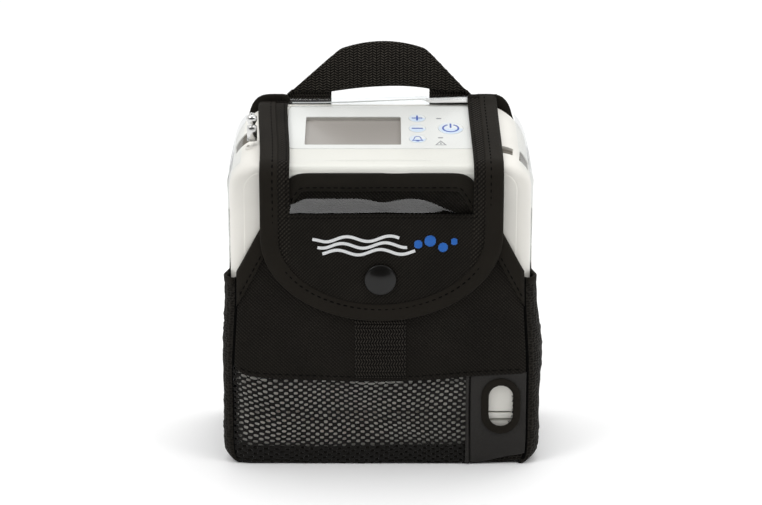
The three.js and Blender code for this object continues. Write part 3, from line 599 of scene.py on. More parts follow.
BLACK = (0.0157, 0.0137, 0.0111)
TWILL = twill_material("twill", BLACK)
# the coarse twill's thread gaps get deep painted shade, 0.02 of its colour
COARSE_TWILL = twill_material("coarse_twill", times(1.5, BLACK), 1.15, 0.3, 0.02)
KNIT = knit_material("spacer_knit", BLACK)
MESH_CLOTH = yarn_material("mesh_yarn", (0.007, 0.0062, 0.0052), 0.8, 1800)
GRAIN_CLOTH = grain_cloth_material("grain_cloth", (0.0118, 0.0102, 0.0086))
TAPE = tape_material("edge_tape", (0.0145, 0.0122, 0.0092))
THREAD = yarn_material("black_thread", (0.0008, 0.0007, 0.0006), 0.9, sheen=0.0)
# the last number sets the painted light on the threads, as a multiple of the colour
WEBBING = ribbed_material("webbing", (0.0056, 0.0050, 0.0041), 14)
STRIP_WEBBING = ribbed_material("strip_webbing", (0.0024, 0.0021, 0.0017), 19)
WHITE_YARN = yarn_material("white_yarn", (0.82, 0.83, 0.84), 0.55, 3200)
BLUE_YARN = yarn_material("blue_yarn", (0.03, 0.16, 0.56), 0.5, 3200)
FILM = film_material("creased_film", (0.965, 0.975, 0.975), 0.05, 0.5, 0.2)
TOP_FILM = film_material("clear_film", (0.965, 0.975, 0.975), 0.15, 0.0, start=0.04)
FILM_HEM = plastic("film_hem", (0.72, 0.72, 0.70), 0.3, 400, 0.01)
SIDE_FILM = film_material("side_film", (0.95, 0.965, 0.97), 0.12, 0.04)
WHITE = plastic("white_shell", (0.79, 0.77, 0.715), 0.42, Coat_Weight=0.12, Coat_Roughness=0.3)
COVER_WHITE = plastic("cover_white", (0.85, 0.83, 0.77), 0.45)
OVERLAY = plastic("overlay", (0.80, 0.795, 0.77), 0.38, 1500, 0.006)
GREY = plastic("grey_plastic", (0.58, 0.58, 0.56), 0.45)
BLACK_PLASTIC = plastic("black_plastic", (0.014, 0.014, 0.015), 0.4)
SNAP_BLACK = plastic("snap_black", (0.003, 0.0026, 0.0022), 0.3, 500, 0.004, Specular_IOR_Level=0.22,
                     Coat_Weight=0.22, Coat_Roughness=0.06)
LCD_GLASS = plastic("lcd_glass", (0.36, 0.33, 0.305), 0.22, 300, 0.002)
PRINT_BLUE = plastic("print_blue", (0.045, 0.10, 0.42), 0.5, 1200, 0.004)
PRINT_GREY = plastic("print_grey", (0.28, 0.28, 0.29), 0.5, 1200, 0.004)
BOARD = plastic("circuit_board", (0.02, 0.12, 0.045), 0.35, 1500, 0.02)
CELL_WRAP = plastic("cell_wrap", (0.03, 0.12, 0.33), 0.3, 900, 0.01)
FOAM = plastic("foam", (0.05, 0.05, 0.05), 0.9, 700, 0.4)
STEEL = metal("bright_steel", (0.66, 0.66, 0.65), 0.2)
SHAFT = metal("shaft_steel", (0.5, 0.5, 0.52), 0.3)
ALUMINIUM = metal("cast_aluminium", (0.6, 0.61, 0.62), 0.42, 900, 0.05)
WINDING = metal("winding", (0.55, 0.24, 0.1), 0.4, 500, 0.1)
GRILLE = plastic("vent_grille", (0.15, 0.135, 0.11), 0.7, 900, 0.05)


def key_material():
    """Key top: the overlay's grey with a pale blue glow in its middle."""
    recipe = Recipe("key_pad", (0.80, 0.795, 0.77), 0.4)
    ball = recipe.node("TexGradient", {"Vector": recipe.coords("UV")}, gradient_type="SPHERICAL")
    recipe.tint(recipe.ramp(ball.outputs["Fac"], 0.05, 0.7, 0, 0.75), (0.56, 0.68, 0.86))
    recipe.rough(recipe.noise(recipe.coords(), 400, 2), 0.36, 0.46)
    recipe.bump(recipe.noise(recipe.coords(), 1500, 2), 0.006, 0.5)
    return recipe.material


KEY = key_material()


# ---- the flap's surface -------------------------------------------------------------------

FLAP_LIFT = 1.65
FLAP_FRONT_PLANE = FLAP_LO[1] + 0.55
FLAP_HALF_W = FLAP_HI[0]
FLAP_BOTTOM_Z = FLAP_LO[2]
FLAP_CURVE_Z = 120.0
WINDOW_HALF_W = PANE_HI[0] + 0.3
WINDOW_BOTTOM_Z = PANE_LO[2] - 0.3
FLAP_REAR_U = 71.6
SNAP_Z = (CAP_LO[2] + CAP_HI[2]) / 2
WINDOW_REAR_U = 68.3
ROLL_R = 9.0


def flap_path():
    """The flap's middle line, seen from the side: (y, z) every half millimetre from the rear seam."""
    turn = math.pi / 2 - TILT
    slope = lambda u: PANEL_O[1:] + u * PANEL_U[1:] + FLAP_LIFT * PANEL_N[1:]
    corner_u = (FLAP_FRONT_PLANE - slope(0)[0]) / PANEL_U[1]
    reach = ROLL_R * math.tan(turn / 2)
    points = [slope(FLAP_REAR_U), slope(corner_u + reach)]
    centre = slope(corner_u + reach) - ROLL_R * PANEL_N[1:]
    for i in range(1, 25):
        a = turn * i / 24
        points.append(centre + ROLL_R * np.array([-math.sin(TILT + a), math.cos(TILT + a)]))
    points.append(np.array([FLAP_FRONT_PLANE, FLAP_BOTTOM_Z]))
    path = np.array([[0, p[0], p[1]] for p in points])
    return resample(path, 0.5)


FLAP_LINE = flap_path()
FLAP_ALONG = arc_lengths(FLAP_LINE)
FLAP_NORMAL = np.cross([1.0, 0, 0], -tangents(FLAP_LINE))
FLAP_LENGTH = FLAP_ALONG[-1]


def flap_frame(d):
    """Middle point and outward normal at distance d from the rear seam."""
    d = np.asarray(d, float)
    return follow(d, FLAP_ALONG, FLAP_LINE), unit(follow(d, FLAP_ALONG, FLAP_NORMAL))


def flap_distance(z):
    """Distance from the rear seam of a height on the flap's front."""
    return FLAP_LENGTH - (z - FLAP_BOTTOM_Z)


D_WINDOW_REAR = FLAP_REAR_U - WINDOW_REAR_U
D_WINDOW_FRONT = flap_distance(WINDOW_BOTTOM_Z)
D_CURVE = flap_distance(FLAP_CURVE_Z)
FILM_BEND_D = 66.0  # from here the film stands away from the casing's front
REAR_JOIN_D = 2.5  # the joining strips behind the flap reach this far onto it


def flap_swell(x, d):
    """Small sag and lift of the flap's cloth."""
    front = smooth(78, 105, d)
    wave = 0.3 * np.sin(x / 17 + 0.8) * np.sin(d / 21 + 0.4) + 0.2 * np.sin(x / 9 - d / 13)
    edge = 0.5 * smooth(0.82, 1.0, np.abs(x) / FLAP_HALF_W) * front
    pull = -0.55 * np.exp(-((x / 15) ** 2 + ((d - flap_distance(SNAP_Z)) / 15) ** 2))
    ear = (3.0 * smooth(-40, 56, x) - 2.2) * smooth(10, 1, d)
    return 0.55 * wave * front + 0.12 * wave + edge + pull * front + ear


def flap_point(x, d, lift=0.0):
    at, out = flap_frame(d)
    x = np.asarray(x, float)
    point = at + out * (flap_swell(x, np.asarray(d, float)) + lift)[..., None]
    widen = (0.2 - 1.35 * smooth(0, 72, d)) / FLAP_HALF_W
    drift = -1.4 + 2.0 * smooth(0, 72, d) - 1.3 * smooth(100, 165, d)
    point[..., 0] = x * (1 + widen) + drift
    return point


def flap_half_width(d):
    drop = np.clip((np.asarray(d, float) - D_CURVE) / (FLAP_LENGTH - D_CURVE), 0, 1)
    return FLAP_HALF_W * np.sqrt(np.maximum(1 - drop ** 2, 0))


def flap_rows():
    straight = np.concatenate([
        [0, D_WINDOW_REAR * 0.5],
        np.linspace(D_WINDOW_REAR, 60, 16),
        np.linspace(63, D_WINDOW_FRONT, 18),
        np.linspace(D_WINDOW_FRONT, D_CURVE, 8)[1:],
    ])
    angles = np.radians(np.linspace(0, 88.5, 30)[1:])
    return np.concatenate([straight, D_CURVE + (FLAP_LENGTH - D_CURVE) * np.sin(angles)])


def build_flap():
    rows = flap_rows()
    edge = WINDOW_HALF_W / FLAP_HALF_W
    side = np.linspace(edge, 1, 8)
    cols = np.concatenate([-side[::-1], np.linspace(-edge, edge, 33)[1:-1], side])
    d = np.repeat(rows[:, None], len(cols), 1)
    x = cols[None] * flap_half_width(rows)[:, None]
    points = flap_point(x, d)
    uvs = np.stack([x, d], -1)
    open_rows = (rows[:-1] + rows[1:]) / 2
    open_cols = np.abs(cols[:-1] + cols[1:]) / 2

    def keep(r, c):
        return open_rows[r] > D_WINDOW_FRONT or open_cols[c] > edge

    cloth = grid("flap_cloth", points, TWILL, uvs, keep)
    cloth.data.materials.append(COARSE_TWILL)
    for polygon in cloth.data.polygons:
        if abs(polygon.center.x) > (WINDOW_HALF_W - 1) * MM:
            polygon.material_index = 1
    thicken(cloth, CLOTH, 0.0)
    settle_on_flap(cloth, "twill", "flap_top_band", "flap_front_panel")
    hole = 2 * WINDOW_HALF_W * D_WINDOW_FRONT
    lower = math.pi / 4 * 2 * FLAP_HALF_W * (FLAP_LENGTH - D_CURVE)
    area = 2 * FLAP_HALF_W * D_CURVE + lower - hole
    stretched(area)

    build_flap_pane()
    path, normals = flap_edge(0.0)
    binding = sweep("flap_edge_tape", path, normals, BINDING_PROFILE, TAPE)
    settle_on_flap(binding, "binding", "flap_binding")
    run = stitches("flap_stitching", *flap_edge(5.6), 3.4, 2.2, 0.42, 1.22)
    settle_on_flap(run, "binding")
    hem = stitches("window_stitching", *window_edge(1.6), 3.0, 2.2, 0.2, 0.72)
    settle_on_flap(hem, "binding")


BINDING_PROFILE = [
    (-8.0, 0.5), (-8.1, 1.0), (-7.6, 1.28), (-4.5, 1.38), (-1.2, 1.34), (0.1, 1.05), (0.75, 0.3),
    (0.75, -0.3), (0.1, -1.0), (-1.2, -1.2), (-7.0, -1.2), (-7.3, -0.9), (-7.0, -0.5),
]


def flap_edge(inset):
    """The flap's outline from the rear left round to the rear right, moved inwards by an inset."""
    half = FLAP_HALF_W - inset
    depth = FLAP_LENGTH - D_CURVE - inset
    side = np.linspace(0.3, D_CURVE, 60)[:-1]
    angles = np.linspace(0, math.pi, 90)
    x = np.concatenate([np.full(len(side), -half), -half * np.cos(angles), np.full(len(side), half)])
    d = np.concatenate([side, D_CURVE + depth * np.sin(angles), side[::-1]])
    return flap_point(x, d), flap_frame(d)[1]


def window_edge(outset):
    """Line round the flap's window, outside its edge: down the left, across and up the right."""
    half = WINDOW_HALF_W + outset
    low = D_WINDOW_FRONT + outset
    side = np.linspace(1, low, 70)
    across = np.linspace(-half, half, 40)[1:-1]
    x = np.concatenate([np.full(len(side), -half), across, np.full(len(side), half)])
    d = np.concatenate([side, np.full(len(across), low), side[::-1]])
    return flap_point(x, d), flap_frame(d)[1]


def build_flap_pane():
    cols = np.linspace(-WINDOW_HALF_W - 4, WINDOW_HALF_W + 4, 72)
    dip = 1.9 * np.exp(-((cols - 1) / 7) ** 2) + 3.8 * smooth(-37, -46, cols)
    crest = D_WINDOW_FRONT - np.maximum(8.6 - dip - 8 * smooth(16, 42, cols), 0.5)
    near = np.linspace(0.2, FILM_BEND_D, 40)[:, None] + 0 * crest
    face = crest[None] - (crest[None] - FILM_BEND_D) * np.linspace(1, 0, 28)[1:, None]
    lens = crest[None] + (D_WINDOW_FRONT - crest[None]) * np.linspace(0, 1, 9)[1:, None]
    hem = D_WINDOW_FRONT + np.linspace(0, 4, 5)[1:, None] + 0 * crest
    d = np.vstack([near, face, lens, hem])
    x = np.repeat(cols[None], len(d), 0)
    rise = np.clip((d - FILM_BEND_D) / (crest - FILM_BEND_D), 0, 1)
    belly = 2.6 * rise * smooth(D_WINDOW_FRONT + 0.5, crest - 0.6, d)
    belly = belly * smooth(WINDOW_HALF_W + 0.6, WINDOW_HALF_W - 6, np.abs(x))
    points = flap_point(x, d, -0.35) + flap_frame(d)[1] * belly[..., None]
    pane = grid("flap_film", points, TOP_FILM, np.stack([x, d], -1))
    pane.data.materials.append(FILM)
    first, last = len(near) + len(face) - 1, len(near) + len(face) + len(lens) - 2
    for i, polygon in enumerate(pane.data.polygons):
        if first <= i // (len(cols) - 1) <= last:
            polygon.material_index = 1
    settle_on_flap(pane, "clear_vinyl", "flap_top_window", "flap_front_window")
    stretched()


def build_rear_seam(name, x0, x1, low, material, slot, thickness):
    """Strip that joins the flap's rear edge to the back panel: cloth at the sides, film between."""
    hinge = joint_mm("flap_lift")
    rear = BACK_HI[1] - 0.3
    line = resample([
        (0, rear, low), (0, rear + 0.1, BACK_HI[2] - 1.5), (0, hinge[1] + 0.2, hinge[2] + 0.1),
        (0, hinge[1] - 1.0, hinge[2] + 0.45), (0, *flap_frame(REAR_JOIN_D)[0][1:]),
    ], 1.0)
    cols = np.linspace(x0, x1, max(8, int((x1 - x0) / 2)))
    points = np.repeat(line[:, None], len(cols), 1)
    along = arc_lengths(line)
    share = smooth(0.4, 1, along / along[-1])[:, None]
    join_row = flap_point(cols, np.full(len(cols), REAR_JOIN_D), 0.2)
    points[..., 0] = cols[None] * (1 - share) + join_row[None, :, 0] * share
    points[..., 1:] += share[..., None] * (join_row[None, :, 1:] - line[-1, 1:])
    strip = grid(name, points, material, np.stack(np.meshgrid(cols, along), -1))
    if thickness:
        thicken(strip, thickness, 0.0)
    bend(strip, hinge, (0.8, -1.2), (-1.6, 0.6))
    assign(strip, slot)
    stretched()


def build_rear_seams():
    cloth_low, film_low = BACK_HI[2] - 9, BACK_HI[2] - 7
    outer = FLAP_HALF_W + 0.6
    lapped = WINDOW_HALF_W + 2
    build_rear_seam("rear_seam_left", -outer, -WINDOW_HALF_W, cloth_low, TWILL, "twill", 1.0)
    build_rear_seam("rear_seam_right", WINDOW_HALF_W, outer, cloth_low, TWILL, "twill", 1.0)
    build_rear_seam("rear_seam_film", -lapped, lapped, film_low, SIDE_FILM, "clear_vinyl", 0)
    x, across = np.meshgrid(np.linspace(-WINDOW_HALF_W, WINDOW_HALF_W, 60), np.linspace(0, 1, 4))
    d = 0.3 + across * (0.9 + 4.2 * smooth(22, 27, x))
    weld = grid("film_hem", flap_point(x, d, 0.05), FILM_HEM, np.stack([x, d], -1))
    thicken(weld, 0.3, 0.0)
    settle(weld, FLAP_TOP, "clear_vinyl")


# ---- bag front: bib, mesh, patch ----------------------------------------------------------

SEAM_X = BIB_HI[0] + 0.5
FRONT_Y = BIB_LO[1]
BIB_TOP_Z = BIB_HI[2] - 1.0
SEAM_Z = BIB_LO[2]
TIE_Z = 98.5
BIB_KNEE_X, BIB_KNEE_Z = 46.5, 143.5
BAG_W = GUSSET_HI[0]
BACK_Y = BACK_HI[1]
CORNER_R = 8.4
GUSSET_TOP = GUSSET_HI[2] - 3.0
BAND_TOP_Z = 9.4


def edge_tuck(z, r):
    """How far a wall is pulled in near the rounded bottom edge."""
    low = np.clip((r - np.asarray(z, float)) / r, 0, 1)
    return r * (1 - np.sqrt(1 - low ** 2))


def side_tuck(z):
    return edge_tuck(z, 7.5) + 1.2 * smooth(14, 0, z)


def flare(z):
    """The front corner seams stand wider apart low down."""
    return 2.3 * smooth(95, 45, z)


def spread(x, z):
    return x + np.sign(x) * flare(z) * smooth(SEAM_X - 25, SEAM_X, np.abs(x))


def lean_out(z):
    """The filled pocket pushes the lower front forwards."""
    return 2.4 * smooth(34, 2, z)


def lean(obj):
    for vertex in obj.data.vertices:
        vertex.co.y -= float(lean_out(vertex.co.z / MM)) * MM
    return obj


def pull_in(x, z):
    """Bottom corners of the front are rounded: points near them move towards the middle."""
    return spread(x, z) - np.sign(x) * 0.55 * side_tuck(z) * smooth(SEAM_X - 25, SEAM_X, np.abs(x))


def bib_half_width(z):
    return np.interp(z, [TIE_Z, BIB_KNEE_Z, 148, BIB_TOP_Z], [SEAM_X, BIB_KNEE_X, 43.3, 39.5])


def front_point(x, z):
    """A point on the bag's front: cloth bellies between its seams and rolls in at the sides."""
    across = np.clip(1 - (x / SEAM_X) ** 2, 0, 1)
    belly = 0.7 * across ** 0.5 * np.sin(np.clip((z - 4) / 96, 0, 1) * math.pi) ** 0.7
    crumple = 0.22 * np.sin(x / 11 + z / 23) * np.sin(z / 9 + 1.1) + 0.14 * np.sin(x / 5.3 - z / 17)
    lean = -2.2 * smooth(140, 152, z)
    roll = -1.5 * smooth(SEAM_X - 2.4, SEAM_X, np.abs(x))
    y = FRONT_Y - (belly + crumple * smooth(4, 20, z) + lean + roll)
    return np.stack([spread(x, z), y, z], -1)


def cross_seam_z(x):
    """The seam between bib and mesh sags in the middle and climbs at both corners."""
    rise = 4.2 * smooth(0, 75, x) + 1.5 * smooth(0, 60, -x) + 7.0 * np.exp(-(x + SEAM_X) / 4.5)
    return SEAM_Z - 4.0 + rise


def lay_on_front(obj):
    """Moves a piece made on the plane y = 0 onto the bag's front, trimmed at the side seams."""
    for vertex in obj.data.vertices:
        x = float(np.clip(vertex.co.x / MM, -SEAM_X + 0.1, SEAM_X - 0.1))
        point = front_point(np.array(x), np.array(vertex.co.z / MM))
        vertex.co.x = point[0] * MM
        vertex.co.y += point[1] * MM
    return obj


def bib_outline():
    """Line up the bib's left side, across its top and down the right."""
    slope = (SEAM_X - BIB_KNEE_X) / (BIB_KNEE_Z - TIE_Z)
    z = np.concatenate([np.linspace(TIE_Z - 12, BIB_KNEE_Z, 50), [146, 148, BIB_TOP_Z - 0.2]])
    half = np.where(z < TIE_Z, SEAM_X + slope * (TIE_Z - z), bib_half_width(z)) + 0.3
    top = np.column_stack([np.linspace(-37, 37, 40), np.full(40, BIB_TOP_Z)])
    line = np.vstack([np.column_stack([-half, z]), top, np.column_stack([half, z])[::-1]])
    return relaxed(resample(np.column_stack([line[:, 0], np.zeros(len(line)), line[:, 1]]), 2.0), 3)


def build_bib():
    s, t = np.meshgrid(np.linspace(-1, 1, 90), np.linspace(0, 1, 64))
    x = s * bib_half_width(SEAM_Z + t * (BIB_TOP_Z - SEAM_Z))
    z = cross_seam_z(x) * (1 - t) + BIB_TOP_Z * t
    bib = grid("bib_cloth", front_point(x, z), TWILL, np.stack([x, z], -1))
    thicken(bib, CLOTH, -1.0)
    settle(bib, ROOT, "twill", "bag_front_panel")
    area = 2 * SEAM_X * (TIE_Z - SEAM_Z) + (SEAM_X + 43) * (BIB_TOP_Z - TIE_Z)
    stretched(area)

    path = bib_outline()
    profile = [(-0.95 * b, n) for b, n in BINDING_PROFILE]
    tape = lay_on_front(sweep("bib_edge_tape", path, OUT, profile, TAPE))
    settle(tape, ROOT, "binding", "bib_binding")
    seam = path + 6.0 * unit(np.cross(tangents(path), OUT))
    seam = seam[np.abs(seam[:, 0]) < SEAM_X - 1]
    x = np.linspace(-SEAM_X + 3, SEAM_X - 3, 90)
    hem = np.column_stack([x, 0 * x, cross_seam_z(x) + 2.4])
    rows = (("bib_stitching", seam, 0.3, 1.3), ("cross_seam_stitching", hem, 0.22, 0.05))
    for name, line, radius, lift in rows:
        run = stitches(name, line, OUT, 3.4, 2.4, radius, lift)
        settle(lay_on_front(run), ROOT, "binding")


def relaxed(path, times):
    """Softens the corners of a path and keeps its ends."""
    path = path.copy()
    for _ in range(times):
        path[1:-1] = (path[:-2] + 2 * path[1:-1] + path[2:]) / 4
    return path


def corner_recess(x, z):
    """Low on the left the mesh is drawn round the casing's corner."""
    return 1.1 * smooth(-65, -SEAM_X, x) * smooth(56, 42, z)


def mesh_panel_point(x, z):
    x = pull_in(x, z)
    y = FRONT_Y + 0.6 - 0.45 * np.sin(x / 13 + 0.5) * np.sin(z / 11) - 0.5 * smooth(8, 30, z)
    return np.stack([x, y + edge_tuck(z, 0.8) + corner_recess(x, z) - lean_out(z), z], -1)


def build_mesh_front():
    """Open knitted mesh: lens-shaped holes in staggered rows."""
    pitch_x, pitch_z = 4.66, 1.5
    hole_w, hole_h = 4.45, 1.26
    rng = np.random.default_rng(11)
    x_min, x_max = -SEAM_X + 1.0, PATCH_LO[0] + 2.0
    z_min = 0.5
    columns = int((x_max - x_min) / pitch_x) + 1
    rows = int((SEAM_Z + 6 - z_min) / pitch_z)
    angles = np.linspace(0, 2 * math.pi, 10, endpoint=False)
    cell = np.array([(-0.5, 0), (-0.2, 1), (0.2, 1), (0.5, 0), (0.2, -1), (-0.2, -1)]) * [pitch_x, pitch_z]
    lens = np.stack([-hole_w / 2 * np.sign(np.cos(angles)) * np.abs(np.cos(angles)) ** 1.25,
                     hole_h / 2 * np.sin(angles)], 1)
    joins = [(0, 1, 8, 7, 6), (1, 2, 9, 8), (2, 3, 11, 10, 9),
             (3, 4, 13, 12, 11), (4, 5, 14, 13), (5, 0, 6, 15, 14)]
    points, faces = [], []
    for r in range(rows):
        for c in range(columns):
            centre = np.array([x_min + (c + 0.5 * (r % 2)) * pitch_x, z_min + (r + 0.5) * pitch_z])
            if centre[1] > cross_seam_z(centre[0]) + 1.0 - mesh_pull(*centre) or centre[0] > x_max:
                continue
            faces += [tuple(len(points) + i for i in face) for face in joins]
            opening = lens * rng.uniform(0.85, 1.1, 2) + rng.normal(0, 0.07, 2)
            opening[:, 0] *= 0.78 if r % 2 else 1.0
            for x, z in np.vstack([centre + cell, centre + opening]):
                sway = 0.7 * math.sin(z / 6.5 + x / 30) + 0.35 * math.sin(x / 8.0)
                tug = 0.75 * math.sin(x / 10.5 + z / 9) + 0.3 * math.sin(x / 4.5 - z / 7) + mesh_pull(x, z)
                x = np.clip(x + sway, -SEAM_X, x_max + 1)
                points.append(mesh_panel_point(np.array(x), np.array(max(z + tug, 0.3))))
    panel = mesh_from("front_mesh", points, faces, MESH_CLOTH)
    modify(panel, "WELD", merge_threshold=0.08 * MM)
    thicken(panel, 0.32, 0.0, even=False)
    modify(panel, "SUBSURF", levels=1, render_levels=1)
    settle(panel, ROOT, "mesh_cloth", "front_mesh_panel")
    stretched()

    s, z = np.meshgrid(np.linspace(-1, 1, 90), np.linspace(0, 1, 10))
    x = s * (SEAM_X - 0.2)
    z = 0.2 + 1.3 * smooth(40, SEAM_X, x) + z * (BAND_TOP_Z - 0.2 + 0.6 * np.sin(x / 19))
    points = mesh_panel_point(x, z)
    points[..., 1] += 0.5 + 0.35 * smooth(38, 42, x)
    band = grid("base_band", points, KNIT, np.stack([x, z], -1))
    thicken(band, 1.0, -1.0)
    settle(band, ROOT, "twill")
    stretched()


def mesh_pull(x, z):
    """The mesh's left end is drawn upwards."""
    return 5.0 * smooth(-48, -SEAM_X, x) * (0.3 + 0.7 * z / SEAM_Z)


PORT_W, PORT_H = 12.5, 21.8


def build_corner_patch():
    x0, x1 = PATCH_LO[0] + 3.6, SEAM_X - 0.5
    z1 = PATCH_HI[2] + 0.9
    cx, cz = (RING_LO[0] + RING_HI[0]) / 2 + 0.5, (RING_LO[2] + RING_HI[2]) / 2 - 0.3
    x = np.linspace(x0, x1 - 1.5, 16)
    z = np.linspace(6.0, z1, 16)
    foot, side = zip(x, 0.9 + 4.2 * smooth(x0, x1, x)), zip(pull_in(np.full(16, x1), z), z)
    loops = [[*foot, *side, (x0, z1)], stadium(cx, cz, PORT_W, PORT_H)]
    plate = outline_plate("corner_patch_cloth", loops, 1.2, 0.3, front_place(FRONT_Y + 0.1), GRAIN_CLOTH)
    settle(lean(plate), ROOT, "grain_cloth", "corner_patch")
    stretched()

    path = np.array([[x0 - 1.6, FRONT_Y + 0.2, z] for z in np.linspace(0.9, z1 - 1.5, 30)])
    profile = [(-0.8, -0.8), (-0.9, 0.2), (-0.5, 0.7), (0.3, 0.75),
               (0.75, 0.3), (0.85, -0.4), (2.6, -0.5), (2.6, -0.8)]
    hem = sweep("patch_hem", path, OUT, profile, GRAIN_CLOTH)
    settle(lean(hem), ROOT, "grain_cloth")
    build_port_ring(cx, cz)


def stadium(cx, cz, w, h, count=10):
    r = w / 2
    points = []
    for side, start in ((1, 0), (-1, 180)):
        for i in range(count + 1):
            a = math.radians(start + 180 * i / count)
            points.append((cx + r * math.cos(a), cz + side * (h / 2 - r) + r * math.sin(a)))
    return points


def build_port_ring(cx, cz):
    """Padded ring round the port hole, with a few loose threads on its inner edge."""
    loop = np.array([[x, FRONT_Y - 0.3, z] for x, z in stadium(cx, cz, PORT_W + 3.4, PORT_H + 3.4, 14)])
    path = resample(loop, 1.0, closed=True)
    path[:, 1] += 0.12 * np.sin(np.arange(len(path)) * 1.9)
    core = sweep("port_ring_core", path, OUT, circle(1.9, 14, 0.62), TAPE, closed=True)
    settle(lean(core), ROOT, "binding", "port_ring")
    rng = np.random.default_rng(5)
    count = 16
    z = cz + rng.uniform(-9, 5, count)
    x = cx + 6.0 - 0.10 * np.maximum(abs(z - cz) - 4, 0) ** 2
    centres = np.column_stack([x, np.full(count, FRONT_Y + 0.1), z])
    way = unit(np.column_stack([-np.ones(count), rng.normal(0, 0.3, count), rng.normal(-0.3, 0.8, count)]))
    fray = beads("port_ring_fray", centres, way, np.tile(OUT, (count, 1)), (0.8, 0.16, 0.16))
    settle(lean(fray), ROOT, "binding")


# ---- bag sides, back and base -------------------------------------------------------------

def plan_path(side):
    """The bag's side in plan: from the front seam round the corner and back to the rear seam."""
    cx, cy = BAG_W - CORNER_R, FRONT_Y + CORNER_R
    angles = np.radians(np.linspace(-86, 0, 14))
    arc = np.stack([cx + CORNER_R * np.cos(angles), cy + CORNER_R * np.sin(angles)], 1)
    run = np.stack([np.full(30, BAG_W), np.linspace(cy, BACK_Y - 1, 30)], 1)[1:]
    path = np.vstack([arc, run])
    path[:, 0] *= side
    return path


def gusset_margin(side, z):
    """How far the side stands off the bag's nominal half-width at a height."""
    if side < 0:
        return -1.5 - 2.0 * smooth(60, 92, z)
    return -3.6 + 5.0 * smooth(100, 62, z) + 1.6 * np.exp(-((z - 50) / 16) ** 2)


def build_gusset(side, word):
    plan = plan_path(side)
    flat = np.column_stack([plan, np.zeros(len(plan))])
    along = arc_lengths(flat)
    out = np.cross(tangents(flat), [0, 0, 1.0]) * side
    rows = np.concatenate([np.linspace(0.3, 9, 14), np.linspace(10, GUSSET_TOP, 70)])
    t = along / along[-1]
    points = np.zeros((len(rows), len(plan), 3))
    for r, z in enumerate(rows):
        fold = 0.25 * np.sin(t * 9 + z / 12) + 0.15 * math.sin(z / 7.5) + 0.2 * np.sin(t * 31 + z * 0.53)
        lump = 0.5 + 0.5 * math.sin(z / 8.3 + side)
        lump = lump * (0.3 * np.sin(z * 0.97 + side) * np.sin(t * 23 + 1) + 0.22 * math.sin(z * 2.3 + side))
        points[r] = flat + out * ((fold + lump) * np.sin(t * math.pi) ** 0.5)[:, None]
        points[r, :, 0] += side * gusset_margin(side, z) * smooth(0.05, 0.3, t) * smooth(1.0, 0.6, t)
        points[r, :, 0] -= side * side_tuck(z) * (0.55 + 0.45 * smooth(0, 0.12, t))
        points[r, :, 0] += side * flare(z) * smooth(0.3, 0, t)
        tuck = edge_tuck(z, 0.8 + 1.4 * smooth(0.1, 0.6, t))
        points[r, :, 1] -= out[:, 1] * tuck + lean_out(z) * smooth(0.3, 0, t)
        points[r, :, 1] += 1.0 * smooth(0.05, 0, t)
        if side < 0:
            points[r, :, 1] += corner_recess(np.full(len(t), -SEAM_X), z) * smooth(0.16, 0, t)
        points[r, :, 2] = z + 14.0 * smooth(0.4, 0.95, t) * smooth(72, GUSSET_TOP, z)
    uvs = np.stack(np.meshgrid(along, rows), -1)
    wall = grid(f"gusset_cloth_{word}", points, KNIT, uvs)
    thicken(wall, 1.0, -1.0 if side > 0 else 1.0)
    settle(wall, ROOT, "twill", f"gusset_{word}")
    stretched()
    hem = np.array([(3.0, -0.2), (2.9, 0.35), (0, 0.45), (-0.4, 0), (0, -1.2), (2.9, -1.1)]) * [side, 1]
    tape = sweep(f"gusset_edge_tape_{word}", points[-1][2:], out[2:], hem, TAPE)
    settle(tape, ROOT, "binding")

    z = np.linspace(2.6, GUSSET_TOP, 60)
    x = side * (SEAM_X + 0.1 + flare(z)) - side * 0.55 * side_tuck(z)
    y = FRONT_Y + 1.7 + edge_tuck(z, 0.8) - lean_out(z) + (corner_recess(x, z) if side < 0 else 0)
    front = np.column_stack([x, y, z])
    z = z[z < GUSSET_TOP - 6]
    x = side * (BAG_W - side_tuck(z) - 0.6)
    rear = np.column_stack([x, BACK_Y - 0.6 - edge_tuck(z, 2.2), z])
    for name, line, out_way in (("corner", front, OUT), ("rear", rear, (side, 0, 0))):
        cord = sweep(f"{name}_seam_{word}", line, out_way, circle(1.0, 12), THREAD)
        settle(cord, ROOT, "binding", *([f"seam_piping_{word}"] if name == "corner" else []))


def back_half_width(z, left):
    tie = 105 if left else 92
    heights = [tie, tie + 5, 147, 160, 165, 168, BACK_HI[2]]
    return np.interp(z, heights, [BAG_W - 0.8, 74.6, 73, 66.5, 65.5, 63.5, 59])


def top_dip(x, z):
    """The back panel's top edge sinks between the flap's two side bands."""
    return 5.5 * smooth(WINDOW_HALF_W + 2, WINDOW_HALF_W - 2, np.abs(x)) * smooth(146, BACK_HI[2] - 1, z)


def corner_rise(x, z):
    """Its two corners stand up behind the flap's side bands."""
    return 2.1 * smooth(43, 49, np.abs(x)) * smooth(68, 60, np.abs(x)) * smooth(155, BACK_HI[2], z)


